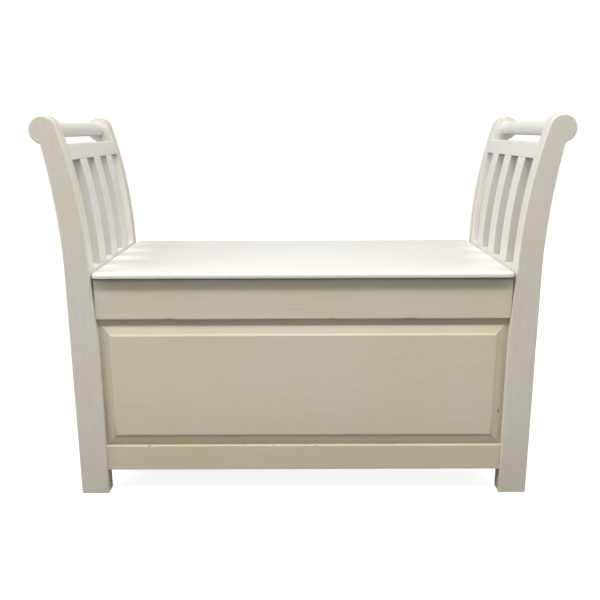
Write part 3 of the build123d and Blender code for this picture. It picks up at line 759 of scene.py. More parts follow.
@dataclass(frozen=True)
class BareWood(Finish):
    """Unpainted wood of the hidden boards."""

    run: Run = Run.ALONG_X
    early: tuple = (0.66, 0.47, 0.28, 1.0)
    late: tuple = (0.43, 0.27, 0.14, 1.0)
    along_scale: float = 3.0
    across_scale: float = 55.0

    def material(self, effects: Effects) -> bpy.types.Material:
        """Rings and pores along the board, in colour, roughness and bump.

        Args:
            effects: the shared surface effects.

        Returns:
            The material.
        """
        material, recipe, shader = self._begin()
        along = self._along(recipe, self._place(recipe), self.run, self.along_scale,
                            self.across_scale)
        grain = recipe.node("ShaderNodeGroup", node_tree=effects.grain)
        recipe.feed(grain, {"Along": along})
        grain.inputs["Early"].default_value = self.early
        grain.inputs["Late"].default_value = self.late
        # Painted shade from the seam attribute darkens the wood; these boards carry none.
        shade_share = recipe.math("MULTIPLY", recipe.attribute("seam"), 0.5)
        height = grain.outputs["Height"]
        recipe.dress(shader, recipe.mix(shade_share, grain.outputs["Colour"], self.late),
                     recipe.rough(height, 0.25, 0.5), height, 0.5, 0.2 * MM)
        return material


@dataclass(frozen=True)
class PlatedMetal(Finish):
    """Plated hardware with fine scratches and a dull bloom."""

    colour: tuple = (0.62, 0.50, 0.28, 1.0)
    tarnish: tuple = (0.33, 0.25, 0.14, 1.0)
    gloss_rough: float = 0.28

    def material(self, effects: Effects) -> bpy.types.Material:
        """Metal whose colour and roughness follow a cloudy tarnish and fine scratches.

        Args:
            effects: the shared surface effects; not used here.

        Returns:
            The material.
        """
        material, recipe, shader = self._begin()
        place = self._place(recipe)
        bloom = recipe.window(recipe.noise(place, 60.0, 4.0, 0.6), 0.40, 0.75)
        scratches = recipe.noise(recipe.stretch(place, (90.0, 1400.0, 1400.0)), 1.0, 2.0)
        rough = recipe.math("ADD", recipe.rough(bloom, 0.25, self.gloss_rough),
                            recipe.math("MULTIPLY", scratches, 0.12))
        recipe.dress(shader, recipe.mix(bloom, self.colour, self.tarnish), rough, scratches,
                     0.25, 0.05 * MM)
        shader.inputs["Metallic"].default_value = 1.0
        return material


@dataclass(frozen=True)
class FeltPad(Finish):
    """Soft matt pad."""

    colour: tuple = (0.62, 0.58, 0.50, 1.0)
    shade: tuple = (0.45, 0.41, 0.34, 1.0)

    def material(self, effects: Effects) -> bpy.types.Material:
        """Fibres as a fine noise in colour and bump.

        Args:
            effects: the shared surface effects; not used here.

        Returns:
            The material.
        """
        material, recipe, shader = self._begin()
        fibres = recipe.noise(self._place(recipe), 1600.0, 4.0, 0.7)
        recipe.dress(shader, recipe.mix(fibres, self.colour, self.shade),
                     recipe.rough(fibres, 0.1, 0.85), fibres, 0.8, 0.2 * MM)
        return material


class PaintShop:
    """Keeps every finish and puts it on pieces."""

    def __init__(self) -> None:
        """Mixes all the finishes."""
        effects = Effects()
        paint, pine, sheet = "cream_paint", "bare_pine", "bare_plywood"
        finishes = {
            "paint_x": CreamPaint("cream_paint_along_rails", paint, Run.ALONG_X),
            "paint_y": CreamPaint("cream_paint_along_sides", paint, Run.ALONG_Y),
            "paint_z": CreamPaint("cream_paint_along_posts", paint, Run.ALONG_Z),
            "pine_x": BareWood("bare_pine_long", pine, Run.ALONG_X),
            "pine_y": BareWood("bare_pine_short", pine, Run.ALONG_Y),
            "sheet": BareWood("bare_plywood", sheet, Run.ALONG_X, (0.72, 0.55, 0.36, 1.0),
                              (0.55, 0.38, 0.22, 1.0), 2.0, 28.0),
            "hinge": PlatedMetal("satin_plated_hinge", "hinge_metal"),
            "screw": PlatedMetal("plated_screw", "screw_steel", (0.60, 0.58, 0.54, 1.0),
                                 (0.36, 0.34, 0.31, 1.0), 0.32),
            "felt": FeltPad("felt_pad", "bumper_felt"),
        }
        self.slots = {key: finish.slot for key, finish in finishes.items()}
        self.materials = {key: made.material(effects) for key, made in finishes.items()}

    def coat(self, piece: bpy.types.Object, key: str) -> None:
        """Gives a piece one finish."""
        piece.data.materials.clear()
        piece.data.materials.append(self.materials[key])


# ---------------------------------------------------------------- pieces


@dataclass
class Maker:
    """Turns shells into named pieces that ride on the right body."""

    shop: PaintShop
    sharp_angle: float = math.radians(24)
    board_shift: float = 0.37
    made: list[str] = field(default_factory=list)

    def piece(self, node: str, shell: Shell, finish: str, body: str = BASE_BODY,
              pockets: list[tuple[Vector, Vector]] | None = None,
              yellow_tone: float = 0.8) -> bpy.types.Object:
        """Makes the visible piece that stands for one node.

        Args:
            node: the node it stands for.
            shell: its surface.
            finish: key of its finish.
            body: the body it rides on.
            pockets: boxes cut out of it, as low and high corners.
            yellow_tone: how far its paint is moved towards the yellow tone, from 0 to 1; partly
                painted light, whiter on lit pieces and yellower on shaded ones.

        Returns:
            The piece.
        """
        mesh = bpy.data.meshes.new(f"{node}_surface")
        mesh.from_pydata(shell.points.tolist(), [], shell.faces)
        every = np.ones(len(shell.points))
        # seam darkens the paint in creases, gaps and under parts: it is painted shade.
        values = {"arris": shell.worn, "seam": shell.seam, "chip": shell.chipped,
                  "board": len(self.made) * self.board_shift * every, "yellow_tone": yellow_tone * every}
        for name, value in values.items():
            layer = mesh.attributes.new(name, "FLOAT", "POINT")
            layer.data.foreach_set("value", np.ascontiguousarray(value, dtype=np.float32))
        made = placed(f"{node}_piece", mesh)
        if pockets:
            self._cut(made, pockets)
        made.data.shade_smooth()
        made.data.set_sharp_from_angle(angle=self.sharp_angle)
        self.shop.coat(made, finish)
        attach(made, body)
        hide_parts(node)
        self.made.append(made.name)
        LOG.info("%s: %d faces, %s, on %s", made.name, len(made.data.polygons), finish, body)
        return made

    @staticmethod
    def _cut(piece: bpy.types.Object, pockets: list[tuple[Vector, Vector]]) -> None:
        """Cuts boxes out of a piece's mesh with exact booleans.

        Args:
            piece: the piece to cut.
            pockets: the boxes, as low and high corners.
        """
        for low, high in pockets:
            outline = rectangle((low.y, low.z), (high.y, high.z))
            ends = Rows(np.zeros(2), np.array([low.x, high.x]), np.zeros(2), np.zeros(2))
            shell = carry(outline, Run.ALONG_X, ends)
            mesh = bpy.data.meshes.new("pocket")
            mesh.from_pydata(shell.points.tolist(), [], shell.faces)
            cutter = placed("pocket", mesh)
            step = piece.modifiers.new("pocket", "BOOLEAN")
            step.operation, step.solver, step.object = "DIFFERENCE", "EXACT", cutter
            graph = bpy.context.evaluated_depsgraph_get()
            result = bpy.data.meshes.new_from_object(piece.evaluated_get(graph))
            piece.modifiers.clear()
            old, piece.data = piece.data, result
            bpy.data.meshes.remove(old)
            bpy.data.objects.remove(cutter)
            bpy.data.meshes.remove(mesh)

    def plain_board(self, node: str, run: Run, finish: str, arris: float, end_arris: float,
                    spacing: float = 0.05, body: str = BASE_BODY) -> None:
        """Makes a board that fills its node's box.

        Args:
            node: the node it stands for.
            run: the axis its grain follows.
            finish: key of its finish.
            arris: radius of its long arrises in millimetres.
            end_arris: radius of its end arrises in millimetres.
            spacing: longest gap between two of its points.
            body: the body it rides on.
        """
        low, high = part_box(node)
        board = Board(tuple(low), tuple(high), run, (arris * MM,) * 4, end_arris * MM, spacing)
        self.piece(node, board.shell(), finish, body)

    def carried_over(self, node: str, finish: str) -> None:
        """Keeps a node's own mesh and gives it a finish."""
        self.shop.coat(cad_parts[node], finish)
        LOG.info("%s: kept, %s", node, finish)


@dataclass(frozen=True)
class ArmCurve:
    """Shape that the posts, the arm rails and the slats share, on the right-hand side."""

    foot_width: float = 0.055
    seat_width: float = 0.0475
    taper_height: float = 0.310
    bend_height: float = 0.450
    inner_radius: float = 1.000
    outer_radius: float = 1.310
    head_radius: float = 0.0255
    neck_radius: float = 0.003

    @property
    def foot_inner(self) -> float:
        """X of the inner face of the foot."""
        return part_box("front_right_post")[0].x

    @property
    def head_height(self) -> float:
        """Z of the middle of the scroll head."""
        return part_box("front_right_post")[1].z - self.head_radius

    @property
    def inner_centre(self) -> np.ndarray:
        """Centre of the inner bend."""
        x = self.foot_inner + self.foot_width - self.seat_width + self.inner_radius
        return np.array([x, self.bend_height])

    @property
    def outer_centre(self) -> np.ndarray:
        """Centre of the outer bend."""
        x = self.foot_inner + self.foot_width + self.outer_radius
        return np.array([x, self.bend_height])

    @property
    def head(self) -> np.ndarray:
        """Middle of the scroll head: it touches the inner bend from inside."""
        reach, rise = self.inner_radius - self.head_radius, self.head_height - self.bend_height
        return self.inner_centre - np.array([math.sqrt(reach ** 2 - rise ** 2), -rise])

    def tangent(self) -> np.ndarray:
        """Point where the straight taper runs into the inner bend."""
        start = np.array([self.foot_inner, self.taper_height])
        run, rise = self.inner_centre - start
        reach = math.hypot(run, rise)
        turn = math.atan2(rise, run) + math.asin(self.inner_radius / reach)
        length = math.sqrt(reach ** 2 - self.inner_radius ** 2)
        return start + length * np.array([math.cos(turn), math.sin(turn)])

    def inner_x(self, z: np.ndarray) -> np.ndarray:
        """X of the arm's inner face at each height: foot, then taper, then bend."""
        tangent = self.tangent()
        straight = np.interp(z, [self.taper_height, tangent[1]], [self.foot_inner, tangent[0]])
        rise = np.clip(z - self.bend_height, 0, self.inner_radius)
        bend = self.inner_centre[0] - np.sqrt(self.inner_radius ** 2 - rise ** 2)
        return np.where(z > tangent[1], bend, straight)

    def bent(self, shell: Shell) -> Shell:
        """Moves a shell sideways so that its X = 0 plane lies on the arm's inner face."""
        shell.points[:, 0] += self.inner_x(shell.points[:, 2])
        return shell

    def neck(self) -> np.ndarray:
        """Centre of the small round in the neck.

        It lies where a circle round the outer bend's centre, smaller by the neck's radius,
        meets a circle round the head, larger by it. Of the two crossings it is the lower one.

        Returns:
            Its X and Z.
        """
        a, b = self.outer_centre, self.head
        ra, rb = self.outer_radius - self.neck_radius, self.head_radius + self.neck_radius
        gap = np.linalg.norm(b - a)
        along = (ra ** 2 - rb ** 2 + gap ** 2) / (2 * gap)
        unit = (b - a) / gap
        side = math.sqrt(ra ** 2 - along ** 2) * np.array([unit[1], -unit[0]])
        ends = [a + unit * along + side, a + unit * along - side]
        return min(ends, key=lambda end: end[1])

    def post_section(self, ease: float) -> Section:
        """Outline of a post in Z and X, counter-clockwise.

        It runs down the inner bend, the taper and the foot, across the foot's end, up the
        outer face and its bend, round the neck and round the head.

        Args:
            ease: radius of the two corners of the foot.

        Returns:
            The outline.
        """
        tangent, neck, head = self.tangent(), self.neck(), self.head
        foot_outer = self.foot_inner + self.foot_width

        top, low = (angle_to(self.inner_centre, point) for point in (head, tangent))
        neck_from = angle_to(self.outer_centre, neck)
        to_outer = angle_to(neck, self.outer_centre) + math.pi
        head_from = angle_to(head, neck)
        inner_bend = arc_points(self.inner_centre, self.inner_radius, top, low, 60)
        foot_corners = eased(
            np.array([tangent, (self.foot_inner, self.taper_height), (self.foot_inner, 0.0),
                      (foot_outer, 0.0), (foot_outer, self.bend_height)]),
            np.array([0, 0.4, ease, ease, 0]), closed=False)
        outer_bend = arc_points(self.outer_centre, self.outer_radius, math.pi, neck_from, 60)
        turn = (head_from - to_outer) % FULL_TURN - math.pi
        neck_arc = arc_points(neck, self.neck_radius, to_outer, to_outer + turn, 8)
        sweep = (top - head_from) % FULL_TURN
        head_arc = arc_points(head, self.head_radius, head_from, head_from + sweep, 72)
        curves = Section.sharp(np.vstack([outer_bend[1:-1], neck_arc, head_arc[1:]]))
        parts = [Section.sharp(inner_bend[1:-1]), foot_corners, curves]
        points, worn, limit, turn = (
            np.concatenate([getattr(part, name) for part in parts])[::-1]
            for name in ("points", "worn", "limit", "turn"))
        return Section(points[:, ::-1].copy(), worn, limit, turn[:, ::-1].copy())


@dataclass
class Uprights:
    """The four posts."""

    maker: Maker
    curve: ArmCurve
    shown_arris: float = 2.4 * MM
    hidden_arris: float = 0.8 * MM
    foot_ease: float = 1.4 * MM
    yellow_tone: float = 0.40

    def build(self) -> None:
        """Makes each post, with its wide arris on the face that points away from the box."""
        section = self.curve.post_section(self.foot_ease).spread(0.02)
        eases = {"front": (self.shown_arris, self.hidden_arris),
                 "rear": (self.hidden_arris, self.shown_arris)}
        for row, ease in eases.items():
            low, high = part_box(f"{row}_right_post")
            rows = rounded_ends(low.y, high.y, *ease, spacing=0.008)
            for side in Side:
                shell = carry(section, Run.ALONG_Y, rows)
                if row == "front" and side is Side.RIGHT:
                    self._nick(shell, low.y)
                self.maker.piece(f"{row}_{side.value}_post", shell.on(side), "paint_z",
                                 yellow_tone=self.yellow_tone)

    def _nick(self, shell: Shell, front: float) -> None:
        """Small knocks on the outer arris of one front post."""
        x = self.curve.foot_inner + self.curve.foot_width
        for z, deep in ((0.316, 0.7), (0.298, 0.5), (0.286, 0.9)):
            shell.knocked((x, front, z), (0.003, 0.003, 0.004), (-deep * MM, deep * MM, 0), 0.7)


@dataclass
class SideArms:
    """The rails, slats and round handle of both arms."""

    maker: Maker
    curve: ArmCurve
    rail_thickness: float = 0.018
    flush_arris: float = 0.5 * MM
    rail_arris: float = 1.5 * MM
    slat_arris: float = 1.2 * MM
    # Painted shade: under the rails, on the ledge below the slat gaps and on the slats' sides in
    # the gaps.
    shade_reach: float = 0.4 * MM
    gap_shade: float = 0.42
    under_shade: float = 1.1
    ledge_shade: float = 0.35
    # Little yellow tone: the arms' brightly lit inner faces get whiter paint, partly painted
    # light.
    yellow_tone: float = 0.18
    handle_radius: float = 0.014
    flare: float = 1.2 * MM

    def build(self) -> None:
        """Makes both arms."""
        for side in Side:
            for rail in ("arm_top_rail", "side_upper_rail", "side_lower_rail"):
                self._rail(side, rail)
            for number in (1, 2, 3):
                self._slat(side, number)
            self._handle(side)

    def _place(self, side: Side, node: str, shell: Shell, finish: str) -> None:
        """Puts a right-hand shell on its side of the bench."""
        self.maker.piece(f"{side.value}_{node}", shell.on(side), finish, yellow_tone=self.yellow_tone)

    @staticmethod
    def _span() -> tuple[float, float]:
        """Y of the two posts' faces that an arm lies between."""
        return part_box("front_right_post")[1].y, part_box("rear_right_post")[0].y

    def _rail(self, side: Side, name: str) -> None:
        """Makes one rail between the posts, flush with their inner faces.

        Args:
            side: the arm it belongs to.
            name: its node's name without the side.
        """
        low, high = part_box(f"right_{name}")
        front, back = self._span()
        arris = (self.flush_arris, self.rail_arris, self.rail_arris, self.flush_arris)
        board = Board((0.0, front, low.z), (self.rail_thickness, back, high.z), Run.ALONG_Y,
                      arris, 0.25 * MM, 0.012)
        shell = board.shell()
        under, over = shell.points[:, 2] - low.z, high.z - shell.points[:, 2]
        # Painted shade under the rail, and along the upper side rail's top below the slat gaps.
        shell.seam = self.under_shade * np.exp(-under / self.shade_reach)
        if name == "side_upper_rail":
            shell.seam = shell.seam + self.ledge_shade * np.exp(-over / self.shade_reach)
        self._place(side, name, self.curve.bent(shell), "paint_y")

    def _slat(self, side: Side, number: int) -> None:
        """Makes one bent slat between the two upper rails of an arm.

        Args:
            side: the arm it belongs to.
            number: which slat, from the front.
        """
        low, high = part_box(f"right_slat_{number}")
        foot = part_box("right_side_upper_rail")[1].z
        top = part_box("right_arm_top_rail")[0].z
        board = Board((0.0, low.y, foot), (self.rail_thickness, high.y, top), Run.ALONG_Y,
                      (0.3 * MM,) * 4, self.slat_arris, 0.010)
        shell = board.shell()
        near = np.minimum(shell.points[:, 1] - low.y, high.y - shell.points[:, 1])
        # Painted shade on the slat's sides, which are seen in the gaps.
        shell.seam = self.gap_shade * np.exp(-near / (0.5 * MM))
        self._place(side, f"slat_{number}", self.curve.bent(shell), "paint_z")

    def _handle(self, side: Side) -> None:
        """Round rod between the heads, with a small bead of paint where it enters each.

        Near a head the rod's radius grows by flare times an exponential of the distance to it.

        Args:
            side: the arm it belongs to.
        """
        low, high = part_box("right_handle")
        front, back = self._span()
        centre = ((low.z + high.z) / 2, (low.x + high.x) / 2)
        circle = arc_points(centre, self.handle_radius, 0, FULL_TURN, 65)[:-1]
        close = np.geomspace(0.2 * MM, 12 * MM, 9) - 0.2 * MM
        level = np.concatenate([[low.y], front + close,
                                np.linspace(front + 20 * MM, back - 20 * MM, 24),
                                back - close[::-1], [high.y]])
        near = np.minimum(np.abs(level - front), np.abs(level - back))
        bead = self.flare * np.exp(-near / (1.2 * MM))
        # Painted shade where the rod enters each head.
        seam = 0.5 * np.exp(-near / (1.5 * MM))
        rows = Rows(-bead, level, np.zeros(len(level)), seam)
        shell = carry(Section.sharp(circle), Run.ALONG_Y, rows)
        self._place(side, "handle", shell, "paint_y")


@dataclass(frozen=True)
class RaisedPanel:
    """Profile of a raised panel, from its edge to its field."""

    tongue: float = 0.006
    thickness: float = 0.006
    margin: float = 0.0045
    head_extra: float = 0.009
    bevel_run: float = 0.015
    bevel_rise: float = 0.005
    step_run: float = 0.005
    step_rise: float = 0.003
    ease: float = 0.7 * MM
    # Painted shade in the panel's recesses: along the margin, and below the step that faces down.
    edge_shade: tuple = ((0.80, 2.0 * MM), (0.30, 1.2 * MM), (0.28, 0.9 * MM))
    step_shade: float = 0.55
    step_shade_reach: float = 3.0 * MM

    def rows(self, back: float, outward: int) -> Rows:
        """Rows from the panel's back edge to its field.

        The line runs from the back edge up the tongue's side, across the margin, up the bevel
        and the step, and onto the field, with each of its corners slightly rounded. Painted shade
        lies along the margin and at the foot of the step, and fades over a few millimetres.

        Args:
            back: level of the back face.
            outward: 1 if the field faces up the run, -1 if it faces down it.

        Returns:
            The rows, from the lowest level to the highest.
        """
        margin_end = self.tongue + self.margin
        bevel_end = margin_end + self.bevel_run
        field_start = bevel_end + self.step_run
        top = self.thickness + self.bevel_rise + self.step_rise
        line = eased(
            np.array([(0.5 * MM, 0.0), (0.0, 0.5 * MM), (0.0, self.thickness),
                      (margin_end, self.thickness),
                      (bevel_end, self.thickness + self.bevel_rise), (field_start, top),
                      (field_start + 0.004, top)]),
            np.array([0, 0.2 * MM, 0.3 * MM, self.ease, self.ease, self.ease, 0]), closed=False)
        points, worn = self._filled(line)
        inset, rise = points.T
        edges = (self.tongue, margin_end, bevel_end)
        seam = sum(crease_shade * np.exp(-np.abs(inset - edge) / reach)
                   for edge, (crease_shade, reach) in zip(edges, self.edge_shade))
        order = slice(None, None, outward)
        return Rows(inset[order], (back + outward * rise)[order], worn[order], seam[order])

    def settled(self, shell: Shell, rows: Rows) -> Shell:
        """Widens the border along the top: the raised part is lower by head_extra there.

        A point's drop is head_extra times its row's share of the border, times its own height
        in its row, so that the lower edge stays where it is. Painted shade is stronger towards
        the lower edge, and on the step that faces down there.

        Args:
            shell: the panel.
            rows: the rows it was made with.

        Returns:
            The same panel.
        """
        height = shell.points[:, 2].reshape(len(rows.inset), -1)
        low, high = height.min(axis=1, keepdims=True), height.max(axis=1, keepdims=True)
        share = np.clip((rows.inset - self.tongue) / self.margin, 0, 1)[:, None]
        place = (height - low) / (high - low)
        shell.points[:, 2] -= (self.head_extra * share * place).ravel()
        step = self.tongue + self.margin + self.bevel_run + 0.5 * self.step_run
        # Painted shade on the step that faces down, near the lower edge.
        step_shadow = self.step_shade * np.exp(-((rows.inset - step) / self.step_shade_reach) ** 2)
        low_step_shadow = step_shadow[:, None] * (1.0 - place) ** 12
        shell.seam = shell.seam * (2.0 - place).ravel() + low_step_shadow.ravel()
        return shell

    @staticmethod
    def _filled(line: Section) -> tuple[np.ndarray, np.ndarray]:
        """The open line with extra points every millimetre of its length."""
        lengths = np.hypot(*np.diff(line.points, axis=0).T)
        reach = np.concatenate([[0.0], np.cumsum(lengths)])
        at = np.union1d(reach, np.arange(0, reach[-1], MM))
        at = at[np.concatenate([[True], np.diff(at) > 0.02 * MM])]
        points = np.column_stack([np.interp(at, reach, line.points[:, n]) for n in (0, 1)])
        return points, np.interp(at, reach, line.worn)


@dataclass
class Casework:
    """The box's rails, panels and floor.

    The knocks hold the place along the bench, then the width in millimetres for the apron, the
    width and depth for the lower rail, and the height, length and depth for the panel.
    """

    maker: Maker
    panel: RaisedPanel = field(default_factory=RaisedPanel)
    waves: Unevenness = field(default_factory=Unevenness)
    soft_arris: float = 2.2 * MM
    fine: float = 0.003
    panel_spacing: float = 0.012
    side_yellow_tone: float = 0.45
    apron_knocks: tuple = ((0.054, 7), (0.207, 11), (-0.262, 8))
    rail_chips: tuple = ((-0.3135, 5.0, 1.3), (-0.3060, 2.2, 0.8), (-0.1229, 3.0, 0.6),
                         (-0.0960, 2.4, 0.5), (-0.0610, 4.0, 0.7), (-0.0377, 2.2, 0.5))
    panel_knocks: tuple = ((0.3923, 0.1717, 6, 0.9), (0.4020, 0.2315, 9, 0.8),
                           (-0.4015, 0.2428, 10, 0.8))

    def build(self) -> None:
        """Makes the front, the back, both sides and the floor."""
        self._front()
        self._back()
        for side in Side:
            self._side_panel(side)
        self._floor()

    def _cross_rail(self, node: str, arris: tuple, spacing: float) -> Shell:
        """One rail between the left and right posts, without its hidden tenons.

        Args:
            node: the node it stands for.
            arris: radii of its four long arrises.
            spacing: longest gap between two of its points.

        Returns:
            The rail.
        """
        low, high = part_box(node)
        half = ArmCurve().inner_x(np.array(low.z)).item()
        board = Board((-half, low.y, low.z), (half, high.y, high.z), Run.ALONG_X, arris,
                      0.8 * MM, spacing)
        return board.shell()

    def _front(self) -> None:
        """The apron, the lower rail and the raised panel."""
        self._apron()
        self._lower_rail()
        low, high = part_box("front_panel")
        outline = rectangle((low.z, low.x), (high.z, high.x)).spread(self.panel_spacing)
        rows = self.panel.rows(high.y, -1)
        panel = self.panel.settled(carry(outline, Run.ALONG_Y, rows), rows)
        for x, z, tall, deep in self.panel_knocks:
            panel.knocked((x, low.y + 5 * MM, z), (3 * MM, 5 * MM, tall * MM),
                          (0, deep * MM, 0), 0.9)
        self.maker.piece("front_panel", panel, "paint_x")

    def _apron(self) -> None:
        """The board under the lid, with painted shadow of the lid along its top, and bumped along
        its lower arris.
        """
        low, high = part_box("front_apron")
        arris = (self.soft_arris, MM, MM, 1.4 * MM)
        apron = self._cross_rail("front_apron", arris, self.fine)
        self.waves.apply(apron, 11, (0, 1, 1))
        # Painted shadow of the lid along the apron's top.
        lid_shadow = np.exp(-((high.z - apron.points[:, 2]) / (3.0 * MM)) ** 2)
        apron.seam = np.maximum(apron.seam, 0.95 * lid_shadow)
        for x, wide in self.apron_knocks:
            apron.knocked((x, low.y, low.z), (wide * MM, 6 * MM, 3.5 * MM),
                          (0, 0.4 * MM, 1.1 * MM), 0.35)
        self.maker.piece("front_apron", apron, "paint_x")

    def _lower_rail(self) -> None:
        """The lower rail, with a little painted shade along its top, and its paint chipped off the
        arris.
        """
        low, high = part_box("front_lower_rail")
        arris = (1.2 * MM, MM, MM, 1.9 * MM)
        rail = self._cross_rail("front_lower_rail", arris, self.fine)
        self.waves.apply(rail, 12, (0, 1, 1))
        # Painted shade along the rail's top, in the corner below the panel.
        rail.seam = 0.16 * np.exp(-((high.z - rail.points[:, 2]) / (3.0 * MM)) ** 2)
        for x, wide, deep in self.rail_chips:
            rail.knocked((x, low.y, high.z), (wide * MM, 2.2 * MM, 1.8 * MM),
                         (0, deep * MM, -0.6 * deep * MM), min(1.0, 0.75 * deep + 0.15))
        self.maker.piece("front_lower_rail", rail, "paint_x")

    def _back(self) -> None:
        """The back rails and the plain back sheet."""
        for node, pockets in (("back_upper_rail", HingeSet.pockets("back_upper_rail")),
                              ("back_lower_rail", None)):
            shell = self._cross_rail(node, (MM,) * 4, 0.02)
            self.maker.piece(node, shell, "paint_x", pockets=pockets)
        self.maker.plain_board("back_panel", Run.ALONG_X, "paint_x", 0.4, 0.4)

    def _side_panel(self, side: Side) -> None:
        """Makes the raised panel of one side, its field outwards.

        Args:
            side: the side it closes.
        """
        low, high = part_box("right_side_panel")
        outline = rectangle((low.y, low.z), (high.y, high.z)).spread(self.panel_spacing)
        rows = self.panel.rows(low.x, 1)
        shell = self.panel.settled(carry(outline, Run.ALONG_X, rows), rows)
        self.maker.piece(f"{side.value}_side_panel", shell.on(side), "paint_z",
                         yellow_tone=self.side_yellow_tone)

    def _floor(self) -> None:
        """The floor board and the four strips that carry it."""
        self.maker.plain_board("floor_board", Run.ALONG_X, "sheet", 0.5, 0.5)
        for place, run, finish in (("front", Run.ALONG_X, "pine_x"),
                                   ("rear", Run.ALONG_X, "pine_x"),
                                   ("left", Run.ALONG_Y, "pine_y"),
                                   ("right", Run.ALONG_Y, "pine_y")):
            self.maker.plain_board(f"{place}_floor_cleat", run, finish, 1.0, 0.4)


@dataclass
class Lid:
    """The seat board with its battens and pads."""

    maker: Maker
    corner: float = 0.015
    top_round: float = 0.007
    under_round: float = 0.002

    def build(self) -> None:
        """Makes the board, then what is under it."""
        low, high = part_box("lid_board")
        outline = rectangle((low.x, low.y), (high.x, high.y), (self.corner,) * 4)
        rows = rounded_ends(low.z, high.z, self.under_round, self.top_round, 0.002, 9)
        board = carry(outline.spread(0.02), Run.ALONG_Z, rows)
        # The lid gets the whitest paint, which stands partly for the strong light on its top.
        self.maker.piece("lid_board", board, "paint_x", LID_BODY,
                         HingeSet.pockets("lid_board"), yellow_tone=0.0)
        for side in Side:
            self.maker.plain_board(f"{side.value}_lid_batten", Run.ALONG_Y, "paint_y", 1.5, 1.5,
                                   0.04, LID_BODY)
        self.maker.carried_over("lid_bumpers", "felt")


